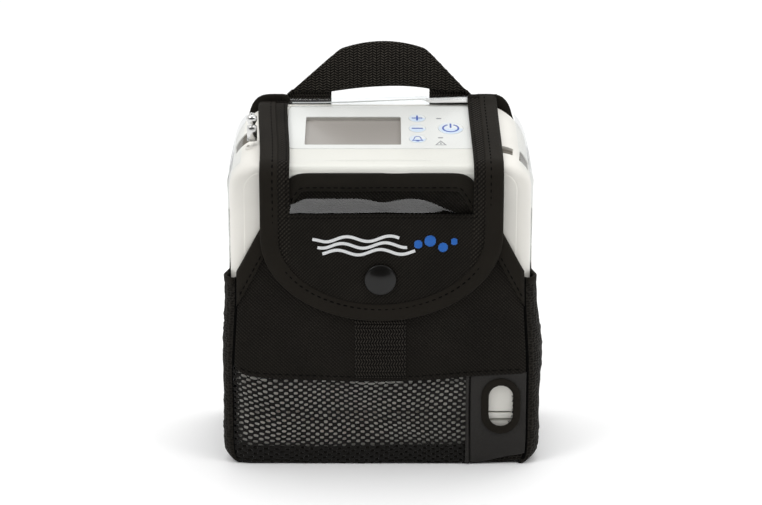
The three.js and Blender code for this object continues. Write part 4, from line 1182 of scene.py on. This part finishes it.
def build_back():
    rows = np.concatenate([np.linspace(0.4, 9, 12), np.linspace(11, BACK_HI[2], 70)])
    s, z = np.meshgrid(np.linspace(-1, 1, 90), rows)
    half = np.where(s < 0, back_half_width(z, True), back_half_width(z, False))
    x = s * (half - side_tuck(z))
    swell = 0.6 * np.cos(s * math.pi / 2) * np.sin(math.pi * np.clip(z / 165, 0, 1))
    crumple = 0.25 * np.sin(x / 14 + z / 19) + 0.15 * np.sin(z / 8 - x / 21)
    y = BACK_Y - 0.4 + swell + crumple * (1 - np.abs(s) ** 4) - edge_tuck(z, 2.2)
    shaped = z - top_dip(x, z) + corner_rise(x, z)
    back = grid("back_cloth", np.stack([x, y, shaped], -1), TWILL, np.stack([x, z], -1))
    thicken(back, 1.6, 1.0, even=False)
    settle(back, ROOT, "twill", "bag_back_panel")
    stretched(0.93 * 2 * BAG_W * BACK_HI[2])
    z = np.concatenate([np.linspace(112, 160, 20), [163, 165.5, 167.6, 169.0]])
    left, right = -back_half_width(z, True), back_half_width(z, False)
    x = np.concatenate([left, np.linspace(-58, 58, 60), right[::-1]])
    z = np.concatenate([z, np.full(60, BACK_HI[2] + 0.2), z[::-1]])
    path = relaxed(resample(np.column_stack([x, np.full(len(x), BACK_Y - 0.9), z]), 2), 2)
    path[:, 2] -= top_dip(path[:, 0], path[:, 2])
    path[:, 2] += corner_rise(path[:, 0], path[:, 2])
    profile = [(0.8, 0), (0.5, 0.8), (-0.5, 1.1), (-6.5, 1.1), (-7, 0.7),
               (-7, -0.9), (-6.5, -1.3), (0, -1.3), (0.6, -0.9)]
    tape = sweep("back_edge_tape", path, REAR, profile, TAPE)
    settle(tape, ROOT, "binding")


def build_base():
    """Stiff base board in cloth, inside the walls' turned-in bottom edges."""
    half = CASE_W - 5.5
    loop = rounded_rect(-half, FRONT_Y - 0.2, half, BACK_Y - 1.6, 9)
    place = frame_matrix((0, 0, 2.6), (1, 0, 0), (0, 1, 0), (0, 0, 1))
    base = outline_plate("base_board", [loop], 2.4, 0.9, place, TWILL)
    planar_uv(base, place)
    settle(base, ROOT, "twill", "bag_base")


def build_side_film(side, word):
    """Clear film over the casing's side and shoulder, slightly slack; it bulges out on the left."""
    r = SHOULDER_REAR_R + 0.7
    cx, cz = CASE_W - SHOULDER_REAR_R, CASE_TOP_REAR - SHOULDER_REAR_R
    angles = np.radians(np.linspace(47, 0, 16))
    arc = np.stack([cx + r * np.cos(angles), cz + r * np.sin(angles)], 1)
    run = np.stack([np.full(40, cx + r), np.linspace(cz, GUSSET_TOP - 4, 40)], 1)[1:]
    line = np.vstack([arc, run])
    flat = np.column_stack([line[:, 0], np.zeros(len(line)), line[:, 1]])
    along = arc_lengths(flat)
    out = np.cross([0, 1.0, 0], tangents(flat)) * -1
    ys = np.linspace(-27, BACK_Y - 3, 40)
    v = (ys - ys[0]) / (ys[-1] - ys[0])
    t = along / along[-1]
    points = np.repeat(flat[:, None], len(ys), 1)
    slack = 0.35 * np.sin(t * 12)[:, None] * np.sin(v * 5)[None] * np.sin(t * math.pi)[:, None]
    if side < 0:
        slack = slack + 1.6 * np.exp(-((flat[:, 2] - 139) / 6) ** 2)[:, None] * np.sin(v * math.pi)[None]
    shoulder = smooth(0.42, 0.0, t)[:, None] * smooth(0.75, 0.0, v)[None]
    points = points + out[:, None] * slack[..., None]
    points[..., 2] -= 9.0 * shoulder
    points[..., 0] += 0.6 * shoulder
    points[..., 1] = ys[None]
    points[..., 0] *= side
    film = grid(f"side_film_{word}", points, SIDE_FILM, np.stack(np.meshgrid(ys, along), -1))
    settle(film, ROOT, "clear_vinyl", f"side_window_{word}")
    stretched()


# ---- webbing ------------------------------------------------------------------------------

def cross_ribs(along):
    """Ridges across a webbing's length."""
    return 0.17 * np.sin(2 * math.pi * along / 1.7)


def build_strip():
    """Ribbed webbing sewn down the middle of the bib."""
    half = STRIP_HI[0]
    rows = np.linspace(SEAM_Z - 1.6, STRIP_HI[2], 220)
    cols = np.linspace(-half, half, 26)
    x, z = np.meshgrid(cols, rows)
    rib = cross_ribs(z) * np.cos(np.pi * x / half / 2) ** 0.3
    lift = 0.85 + rib + 0.12 * np.sin(x / 6)
    lift = lift - 0.5 * smooth(0.9, 1.0, np.abs(x) / half)
    points = front_point(x, z)
    points[..., 1] -= lift
    strip = grid("webbing_strip_cloth", points, STRIP_WEBBING, np.stack([z, x], -1))
    thicken(strip, 0.9, -1.0)
    settle(strip, ROOT, "webbing", "webbing_strip")
    stretched()


WEBBING_W = 25
BAND_Y = 38.7
TAB_Y = 41.0
TAIL_STEP = 2.8
KNEE_Z, FOLD_Z = 195.4, 169.4
HANDLE_LOW_Z = 172.8
TAB_TOP_Z = 193
TAB_CUT_Z, TAB_MEAN_Z = 190, 182  # top of the flat piece: at its highest, and on average
HANDLE_LEFT = (-49.4, -20.4)  # foot and fold
HANDLE_RIGHT = (47.5, 23.0)


def handle_top(x):
    """Upper edge of the folded handle: a shallow arch between two slanting folds."""
    x = np.asarray(x, float)
    middle = (HANDLE_LEFT[1] + HANDLE_RIGHT[1]) / 2
    reach = (HANDLE_RIGHT[1] - HANDLE_LEFT[1]) / 2
    edges = []
    for shift in (-1.2, 0, 1.2):
        at = x + shift
        arch = KNEE_Z + 4.0 * (1 - ((at - middle) / reach) ** 2)
        for foot, fold in (HANDLE_LEFT, HANDLE_RIGHT):
            slant = KNEE_Z + (at - fold) * (FOLD_Z - KNEE_Z) / (foot - fold)
            arch = np.minimum(arch, slant)
        edges.append(arch)
    return sum(edges) / len(edges)


def build_handle():
    outer = LOOP_HI[0]
    cols = np.linspace(-outer + 2.6, outer - 2.6, 180)
    rows = np.linspace(0, 1, 26)
    x, t = np.meshgrid(cols, rows)
    low = HANDLE_LOW_Z + 2.9 * np.clip(1 - ((x - 8) / np.where(x < 8, 33, 24)) ** 2, 0, 1)
    top = handle_top(x)
    low = np.minimum(low, top - 0.8)
    z = low + t * (top - low)
    bow = -0.8 * np.cos(np.clip(x / outer, -1, 1) * math.pi / 2)
    edge = 0.35 * smooth(0.9, 1, np.abs(2 * t - 1))
    y = BAND_Y + bow * smooth(176, 190, z) + edge - cross_ribs(x) * 0.8 + 0.2 * np.sin(x / 9)
    band = grid("handle_band", np.stack([x, y, z], -1), WEBBING, np.stack([x, z], -1))
    thicken(band, 1.1, -1.0)
    settle(band, HANDLE, "webbing", "handle_webbing")
    area = 0.72 * 2 * outer * WEBBING_W
    stretched(area)
    for side, word in ((-1, "left"), (1, "right")):
        build_handle_tab(side, word)


def build_handle_tab(side, word):
    """Upright end of the handle webbing: sewn to the back, folded over at the top."""
    x0, x1 = TAIL_LO[0], TAIL_HI[0]
    cols = np.linspace(x0, x1, 24)
    rows = np.linspace(0, 1, 200)
    s, t = np.meshgrid(cols, rows)
    low = TAIL_LO[2]
    top = np.minimum(handle_top(side * s) - 0.3, TAB_TOP_Z)
    z = low + t * (top - low)
    y = TAB_Y - TAIL_STEP * smooth(171, 163, z) + cross_ribs(z) * 0.8 + 0.15 * np.sin(z / 11)
    points = np.stack([side * s, y, z], -1)
    tab = grid(f"handle_tab_{word}", points, WEBBING, np.stack([z, s], -1))
    thicken(tab, 1.1, 1.0 if side > 0 else -1.0)
    bend(tab, (0, TAB_Y, LOOP_LO[2]), (0, -3), (0, 3.5))
    assign(tab, "webbing", f"handle_tail_{word}")
    stretched((x1 - x0) * (TAB_MEAN_Z - low))
    a, b, c, d = x0 + 3, x1 - 3, low + 3, low + 22
    box = [(a, c), (b, c), (b, d), (a, d), (a, c), (b, d), (b, c), (a, d)]
    path = resample([(side * x, TAB_Y - TAIL_STEP + 0.15, z) for x, z in box], 1.0)
    run = stitches(f"handle_box_stitch_{word}", path, REAR, 2.6, 2.0, 0.3, 0.2)
    settle(run, ROOT, "binding")


# ---- snap and embroidered motif -----------------------------------------------------------

def build_snap():
    r = (CAP_HI[0] - CAP_LO[0]) / 2
    profile = [(0, 0), (r - 0.5, 0), (r - 0.15, 0.12), (r, 0.45),
               (r - 0.1, 0.75), (r - 0.45, 1.02), (r - 0.9, 1.12), (r - 1.3, 1.2)]
    for a in np.linspace(0, 1, 13)[1:]:
        profile.append(((r - 1.3) * (1 - a), 1.2 + 1.25 * math.sin(a * math.pi / 2)))
    cap = lathe("snap_cap_dome", profile, (0, CAP_HI[1] - 0.1, SNAP_Z), OUT, SNAP_BLACK, 64)
    settle(cap, FLAP_FRONT, "snap_black", "snap_cap")


def motif_point(x, z):
    tilt = math.radians(0.6)
    x, z = x * math.cos(tilt) - z * math.sin(tilt), x * math.sin(tilt) + z * math.cos(tilt)
    return flap_point(x, flap_distance(z), 0.95)


def build_motif():
    """Generic embroidery: three white air waves that break into four blue bubbles."""
    centre_z = 115.5
    for row in range(3):
        x = np.linspace(-33 + 2.5 * row, 10 + 4 * row, 130)
        swell = smooth(-34, -24, x) * smooth(18 + 4 * row, 8 + 4 * row, x)
        z = centre_z + 3.4 * (1 - row) + 1.3 * np.sin(x / 3.4 + row * 0.7) * (0.4 + 0.6 * swell)
        path = motif_point(x, z)
        normals = flap_frame(flap_distance(z))[1]
        rope = sweep(f"motif_wave_{row + 1}", path, normals, circle(0.78, 10, 0.5), WHITE_YARN)
        twist_rope(rope, len(path), 10)
        settle(rope, FLAP_FRONT, "binding")
    bubbles = [(19.5, 0.3, 2.1), (25.4, 2.0, 2.8), (31.8, -1.3, 2.3), (37.3, 1.6, 1.7)]
    for k, (x, dz, r) in enumerate(bubbles):
        fill_bubble(f"motif_bubble_{k + 1}", x, centre_z + dz, r)


def twist_rope(obj, count, ring):
    """Ridges across a satin-stitched line, one per thread."""
    for i, vertex in enumerate(obj.data.vertices):
        step, k = divmod(i, ring)
        if 0 < step < count - 1:
            vertex.co.y -= 0.07 * MM * (1 if step % 2 else -1) * max(math.sin(2 * math.pi * k / ring), 0)


def fill_bubble(name, cx, cz, r):
    """Satin-stitched disc: parallel threads cut to a circle."""
    points, faces = [], []
    pitch = 0.42
    for k in range(int(-r / pitch), int(r / pitch) + 1):
        off = k * pitch
        half = math.sqrt(max(r * r - off * off, 0)) + 0.12 * (k % 2)
        if half < 0.4:
            continue
        arch = np.linspace(-1, 1, 9)
        x = np.full(9, cx + off)
        z = cz + arch * half
        line = motif_point(x, z)
        base = len(points)
        for q, a in zip(line, arch):
            for b in range(6):
                w = 2 * math.pi * b / 6
                rise = 0.45 * math.sqrt(max(1 - a * a, 0)) - 0.25
                points.append(q + np.array([0.27 * math.cos(w), -(rise + 0.24 * math.sin(w)), 0]))
        for i in range(8):
            for b in range(6):
                n = (b + 1) % 6
                low = base + i * 6
                faces.append((low + b, low + n, low + 6 + n, low + 6 + b))
        faces.append(tuple(base + b for b in range(6)))
        faces.append(tuple(base + 48 + b for b in reversed(range(6))))
    disc = mesh_from(name, points, faces, BLUE_YARN)
    settle(disc, FLAP_FRONT, "binding")


# ---- concentrator -------------------------------------------------------------------------

FRONT_ROLL, REAR_ROLL, PLAN_R = 3.2, 2.0, 8.5
SHOULDER_FRONT_R, SHOULDER_REAR_R = 13.5, 21.0
CASE_BOTTOM = CASE_LO[2]


def slope_z(y):
    return CASE_TOP_FRONT + math.tan(TILT) * (y - CASE_FRONT_Y)


def quarter_drop(gap, r):
    """How far a quarter circle of radius r has fallen at a distance from its edge."""
    return r - math.sqrt(max(r * r - (r - gap) ** 2, 0)) if gap < r else 0


def case_section(y):
    """Half-width, top height and shoulder radius of the casing at a depth."""
    front, rear = y - CASE_FRONT_Y, CASE_REAR_Y - y
    narrow = quarter_drop(min(front, rear), PLAN_R)
    top = slope_z(y) - quarter_drop(front, FRONT_ROLL) - quarter_drop(rear, REAR_ROLL)
    share = front / (CASE_REAR_Y - CASE_FRONT_Y)
    shoulder = SHOULDER_FRONT_R + (SHOULDER_REAR_R - SHOULDER_FRONT_R) * share
    return CASE_W - narrow, top, shoulder - 0.55 * narrow


def case_outline(y):
    half, top, r = case_section(y)
    angles = np.radians(np.linspace(0, 90, 16))
    right = np.vstack([
        np.stack([np.full(10, half), np.linspace(CASE_BOTTOM, top - r, 10)], 1)[:-1],
        np.stack([half - r + r * np.cos(angles), top - r + r * np.sin(angles)], 1),
        np.stack([np.linspace(half - r, 0, 14), np.full(14, top)], 1)[1:-1],
    ])
    left = right[::-1] * [-1, 1]
    line = np.vstack([right, [[0, top]], left])
    return np.column_stack([line[:, 0], np.full(len(line), y), line[:, 1]])


def build_housing():
    y_front = CASE_FRONT_Y + PLAN_R * (1 - np.cos(np.radians(np.linspace(0, 90, 12))))
    y_rear = CASE_REAR_Y - PLAN_R * (1 - np.cos(np.radians(np.linspace(90, 0, 12))))
    ys = np.concatenate([y_front, np.linspace(y_front[-1], y_rear[0], 16)[1:-1], y_rear])
    outer = np.array([case_outline(y) for y in ys])
    shares = (0.15, 0.6, 0.93)
    caps_front = [scaled_ring(outer[0], share) for share in shares]
    caps_rear = [scaled_ring(outer[-1], share) for share in reversed(shares)]
    shell = grid("housing_shell", np.concatenate([caps_front, outer, caps_rear]), WHITE)
    thicken(shell, 2.0, -1.0 if shell_faces_out(shell) else 1.0)
    pocket = rounded_rect(SHEET_LO[0] - 0.25, SHEET_U[0] - 0.25, SHEET_HI[0] + 0.25, SHEET_U[1] + 0.25, 5)
    view = rounded_rect(LCD_LO[0] + 1.8, LCD_U[0], LCD_HI[0] - 2.1, LCD_U[1], 0.6)
    cutters = [outline_plate("cut_pocket", [pocket], 6, 0.0, panel_place(5.2), None)]
    cutters.append(outline_plate("cut_view", [view], 12, 0.0, panel_place(6), None))
    cutters += vent_cutters(-1) + vent_cutters(1)
    for cutter in cutters:
        modify(shell, "BOOLEAN", operation="DIFFERENCE", object=cutter, solver="EXACT")
    apply_modifiers(shell)
    for cutter in cutters:
        bpy.data.objects.remove(cutter)
    shade_by_angle(shell, 32)
    modify(shell, "BEVEL", width=0.35 * MM, segments=2, limit_method="ANGLE", angle_limit=math.radians(50))
    settle(shell, ROOT, "white_shell", "main_housing")
    build_covers()


def shell_faces_out(obj):
    return sum((p.center - Vector((0, 0, 0.09))).dot(p.normal) for p in obj.data.polygons) > 0


def scaled_ring(ring, share):
    centre = np.array([0, ring[0][1], 95.0])
    out = centre + (ring - centre) * share
    out[:, 2] = np.maximum(out[:, 2], CASE_BOTTOM)
    return out


def slope_u(y):
    """How far up the control panel's slope a depth is."""
    return (y - CASE_FRONT_Y) / PANEL_U[1]


SHEET_U = (slope_u(SHEET_LO[1]) + 0.2, slope_u(SHEET_HI[1]) - 0.2)
LCD_U = (slope_u(LCD_LO[1]) + 2.9, slope_u(LCD_HI[1]))


def apply_modifiers(obj):
    mesh = bpy.data.meshes.new_from_object(obj.evaluated_get(bpy.context.evaluated_depsgraph_get()))
    obj.modifiers.clear()
    old = obj.data
    obj.data = mesh
    bpy.data.meshes.remove(old)


def vent_cutters(side):
    """Shoulder air slots: on the left one long crescent behind the nozzle, on the right two short ones."""
    spans = [(22, 66, 3.0, 13)] if side < 0 else [(8, 28, -15.6, 7.5), (41, 66, -14.5, 13)]
    made = []
    for a0, a1, y, width in spans:
        cx, cz = CASE_W - 17, slope_z(y) - 17
        angles = np.radians(np.linspace(a0, a1, 12))
        loop = [(side * (cx + 10 * math.sin(a)), cz + 10 * math.cos(a)) for a in angles]
        loop += [(side * (cx + 26 * math.sin(a)), cz + 26 * math.cos(a)) for a in angles[::-1]]
        place = front_place(y - width / 2)
        made.append(outline_plate(f"cut_vent_{side}_{a0}", [loop], width, 0.0, place, None))
    return made


def build_covers():
    """Flat front cover with a hairline gap round it, and the plain rear cover."""
    z0, z1 = CASE_BOTTOM + 0.4, CASE_TOP_FRONT - 2.6
    half = CASE_W - PLAN_R + 1.2
    for name, y, turn in (("front_cover", CASE_FRONT_Y, 1), ("rear_cover", CASE_REAR_Y, -1)):
        top = z1 + (0 if turn > 0 else 12)
        loop = [p for p in rounded_rect(-half, z0 - 20, half, top, 9) if p[1] > z0 + 1]
        loop += [(-half, z0 + 1), (-half + 1, z0), (half - 1, z0), (half, z0 + 1)]
        place = frame_matrix((0, y - 0.15 * turn, 0), (turn, 0, 0), (0, 0, 1), (0, -turn, 0))
        plate = outline_plate(f"{name}_plate", [loop], 2.2, 0.5, place, COVER_WHITE)
        settle(plate, ROOT, "white_shell", name)


def build_vent_grilles():
    for side, word in ((-1, "left"), (1, "right")):
        rows = []
        for y in np.arange(-28, 14, 0.4):
            half, top, r = case_section(y)
            rr = r - 1.3 + 0.6 * math.sin(y * 2.2)
            angles = np.radians(np.linspace(4, 84, 24))
            cx, cz = half - r, top - r
            rows.append([(side * (cx + rr * math.sin(a)), y, cz + rr * math.cos(a)) for a in angles])
        settle(thicken(grid(f"vent_grille_{word}", np.array(rows), GRILLE), 0.5, 0.0), ROOT, "foam")


def build_battery():
    """Tray edge and battery below the casing, with softly rounded edges."""
    for name, node, lo, hi, edge, inset, slot_name in (
        ("tray_band", "chassis_tray", TRAY_LO, TRAY_HI, 0.45, 0.0, "grey_plastic"),
        ("battery_shell", "battery_case", CELL_LO, CELL_HI, 3.4, 1.3, "white_shell"),
    ):
        loop = rounded_rect(lo[0] + inset, lo[1], hi[0] - inset, hi[1], PLAN_R, 10)
        place = frame_matrix((0, 0, hi[2]), (1, 0, 0), (0, 1, 0), (0, 0, 1))
        plate = outline_plate(name, [loop], hi[2] - lo[2], edge, place, COVER_WHITE, 4)
        settle(plate, ROOT, slot_name, node)


def bar(x, u, half_w, half_h, r):
    return rounded_rect(x - half_w, u - half_h, x + half_w, u + half_h, r)


def build_panel():
    low, high = LCD_U
    loops = [rounded_rect(SHEET_LO[0], SHEET_U[0], SHEET_HI[0], SHEET_U[1], 5, 10),
             rounded_rect(LCD_LO[0] + 2.1, low + 0.3, LCD_HI[0] - 2.4, high - 0.3, 0.8)]
    keys = {name: key_spot(name) for name in ("key_plus", "key_minus", "key_bell", "key_power")}
    loops += [circle(r + 0.12, 48) + [x, u] for x, u, r in keys.values()]
    overlay = outline_plate("overlay_sheet", loops, 0.8, 0.08, panel_place(0.05), OVERLAY)
    settle(overlay, ROOT, "grey_plastic", "control_overlay")
    pane = rounded_rect(LCD_LO[0] + 0.8, low - 1, LCD_HI[0] - 0.9, high + 1, 0.8)
    glass = outline_plate("lcd_pane", [pane], 1.0, 0.1, panel_place(-1.9), LCD_GLASS)
    settle(glass, ROOT, "lcd", "lcd_module")
    for name, (x, u, r) in keys.items():
        build_key(name, x, u, r)
    for x, u in ((29.3, 52.0), (29.8, 31.0)):
        loop = bar(x, u, 1.3, 0.5, 0.45)
        led = outline_plate(f"led_slot_{round(u)}", [loop], 0.16, 0.03, panel_place(0.12), PRINT_GREY)
        settle(led, ROOT, "grey_plastic")
    x, u = 29.8, 24.8
    corners = np.radians([90, 210, 330])
    triangles = [[(x + r * math.cos(a), u + r * math.sin(a)) for a in corners] for r in (3.3, 2.3)]
    print_on("alert_mark", ROOT, 0.09, *triangles)
    print_on("alert_bar", ROOT, 0.09, bar(x, u + 0.3, 0.3, 1.0, 0.25))


def key_spot(name):
    """Centre of a key along the panel, and its radius."""
    low, high = corners_mm(name)
    centre = (low + high) / 2 - PANEL_O
    return centre[0], centre @ PANEL_U, (high[0] - low[0]) / 2 - 0.8


def print_on(name, body, height, *loops):
    """Thin printed mark: blue on the keys, grey on the overlay."""
    slot, material = ("grey_plastic", PRINT_GREY) if body == ROOT else ("key_pad", PRINT_BLUE)
    settle(outline_plate(name, loops, 0.06, 0.0, panel_place(height), material), body, slot)


def key_marks(name, x, u):
    """A key's symbol: the name, layer and outlines of each of its marks."""
    return {
        "key_plus": [("plus_across", 0, bar(x, u, 2.7, 0.45, 0.3)),
                     ("plus_up", 0.01, bar(x, u, 0.45, 2.7, 0.3))],
        "key_minus": [("minus_across", 0, bar(x, u, 2.8, 0.45, 0.3))],
        "key_bell": [("bell_outline", 0, bell(x, u, 2.9), bell(x, u + 0.1, 2.2)),
                     ("bell_clapper", 0, bar(x, u - 2.65, 0.8, 0.35, 0.3))],
        "key_power": [("power_ring", 0, ring_with_gap(x, u, 4.3, 3.4)),
                      ("power_bar", 0.01, bar(x, u + 2.7, 0.45, 2.3, 0.3))],
    }[name]


def build_key(name, x, u, r):
    top = 0.12
    key = outline_plate(f"{name}_cap", [circle(r, 56) + [x, u]], 2.6, 0.15, panel_place(top), KEY, 3)
    planar_uv(key, panel_place(0), (x, u), r)
    settle(key, name, "key_pad", name)
    for mark, layer, *loops in key_marks(name, x, u):
        print_on(mark, name, top + 0.05 + layer, *loops)


def bell(x, u, r):
    arc = [math.pi * i / 8 for i in range(9)]
    dome = [(x + 0.62 * r * math.cos(a), u + 0.2 * r + 0.72 * r * math.sin(a)) for a in arc]
    foot = [(x - r, u - 0.75 * r), (x + r, u - 0.75 * r), (x + 0.72 * r, u - 0.3 * r)]
    return foot + dome + [(x - 0.72 * r, u - 0.3 * r)]


def ring_with_gap(x, u, outer, inner):
    """Ring open at the top."""
    angles = np.radians(np.linspace(112, 428, 44))
    loop = [(x + outer * math.cos(a), u + outer * math.sin(a)) for a in angles]
    return loop + [(x + inner * math.cos(a), u + inner * math.sin(a)) for a in angles[::-1]]


def build_nozzle():
    cx, cy = (BARB_LO[0] + BARB_HI[0]) / 2 + 0.7, (BARB_LO[1] + BARB_HI[1]) / 2
    top = BARB_HI[2] - BARB_LO[2]
    profile = [(1.2, 0), (2.5, 0), (2.5, top - 6.6), (2.35, top - 6.35),
               (1.7, top - 6.2), (1.65, top - 5.5), (1.9, top - 5.0)]
    for a in np.radians(np.linspace(-42, 62, 15)):
        profile.append((2.7 * math.cos(a), top - 2.8 + 2.7 * math.sin(a)))
    profile += [(1.5, top - 0.1), (1.25, top - 0.02), (1.1, top - 0.3), (1.1, top - 5)]
    barb = lathe("nozzle_stem", profile, (cx, cy, BARB_LO[2]), (0, 0, 1), STEEL)
    settle(barb, ROOT, "bright_steel", "nozzle_barb")
    top = SEAT_HI[2] - SEAT_LO[2]
    profile = [(2.6, 0), (3.6, 0), (3.6, top - 3.2), (3.2, top - 2.8), (2.6, top - 2.7)]
    ring = lathe("nozzle_collar", profile, (cx, cy, SEAT_LO[2]), (0, 0, 1), WHITE)
    shade_by_angle(ring)
    settle(ring, ROOT, "grey_plastic", "nozzle_seat")


CARRIED = (
    (STEEL, "snap_stud snap_socket"),
    (BOARD, "display_board main_board"),
    (BLACK_PLASTIC, "power_inlet fan_housing fan_rotor"),
    (CELL_WRAP, "battery_cells"),
    (GREY, "battery_latch column_manifold valve_block"),
    (FOAM, "compressor_mount intake_filter"),
    (WINDING, "motor_stator"),
    (SHAFT, "crank_rotor"),
    (ALUMINIUM, "compressor_block piston_left piston_right cylinder_head_left cylinder_head_right"),
    (ALUMINIUM, "sieve_column_front sieve_column_rear product_tank"),
)


def paint_carried():
    """Gives every CAD piece that is kept as it is its own material."""
    for material, nodes in CARRIED:
        for node in nodes.split():
            obj = frame["nodes"][node]
            obj.data.materials.clear()
            obj.data.materials.append(material)
            shade_by_angle(obj)


# ---- stage --------------------------------------------------------------------------------

def build_stage():
    reach = 15000  # millimetres
    corners = [(-reach, -reach, 0), (reach, -reach, 0), (reach, reach, 0), (-reach, reach, 0)]
    paper = Recipe("floor", (0.97, 0.97, 0.97), 0.9).material
    floor = mesh_from("floor", corners, [(0, 1, 2, 3)], paper)
    world = bpy.data.worlds.new("studio")
    bpy.context.scene.world = world
    world.use_nodes = True
    sky = Nodes(world.node_tree)
    split = sky.node("SeparateXYZ", {"Vector": sky.coords("Generated")})
    ramps = []
    for axis, low, high in (("Y", -0.85, 0.15), ("Z", 0.45, 0.9)):
        ramps.append(sky.ramp(split.outputs[axis], low, high, interpolation_type="SMOOTHSTEP"))
    background = sky.tree.nodes["Background"]
    sky.link(sky.ramp(sky.math("MAXIMUM", *ramps), 0, 1, 0.06, 1.05), background.inputs["Strength"])
    background.inputs["Color"].default_value = (1, 1, 1, 1)
    for name, place, size, power in (
        ("key_light", (-1.0, -0.7, 1.2), 0.6, 5.5),
        ("fill_light", (1.1, -0.6, 1.1), 0.6, 3.5),
        ("top_light", (0.1, 0.3, 1.7), 0.8, 7),
    ):
        data = bpy.data.lights.new(name, "AREA")
        data.size = size
        data.energy = power
        lamp = bpy.data.objects.new(name, data)
        lamp.location = place
        aim = Vector((0, 0, 0.09)) - lamp.location
        lamp.rotation_euler = aim.to_track_quat("-Z", "Y").to_euler()
        bpy.context.scene.collection.objects.link(lamp)


def build_camera():
    elevation, distance = math.radians(18), 1.2
    target = Vector((0.0003, 0, 0.0992))
    back = Vector((0, -math.cos(elevation), math.sin(elevation)))
    data = bpy.data.cameras.new("camera")
    data.sensor_width = 36
    data.lens = 112.5
    camera = bpy.data.objects.new("camera", data)
    camera.location = target + back * distance
    camera.rotation_mode = "QUATERNION"
    camera.rotation_quaternion = (-back).to_track_quat("-Z", "Y")
    bpy.context.scene.collection.objects.link(camera)
    bpy.context.scene.camera = camera
    bpy.context.scene.view_settings.view_transform = "Standard"


build_camera()
build_stage()
build_flap()
build_rear_seams()
build_bib()
build_mesh_front()
build_corner_patch()
for hand, word in ((-1, "left"), (1, "right")):
    build_gusset(hand, word)
    build_side_film(hand, word)
build_back()
build_base()
build_strip()
build_handle()
build_snap()
build_motif()
build_housing()
build_vent_grilles()
build_battery()
build_panel()
build_nozzle()
paint_carried()
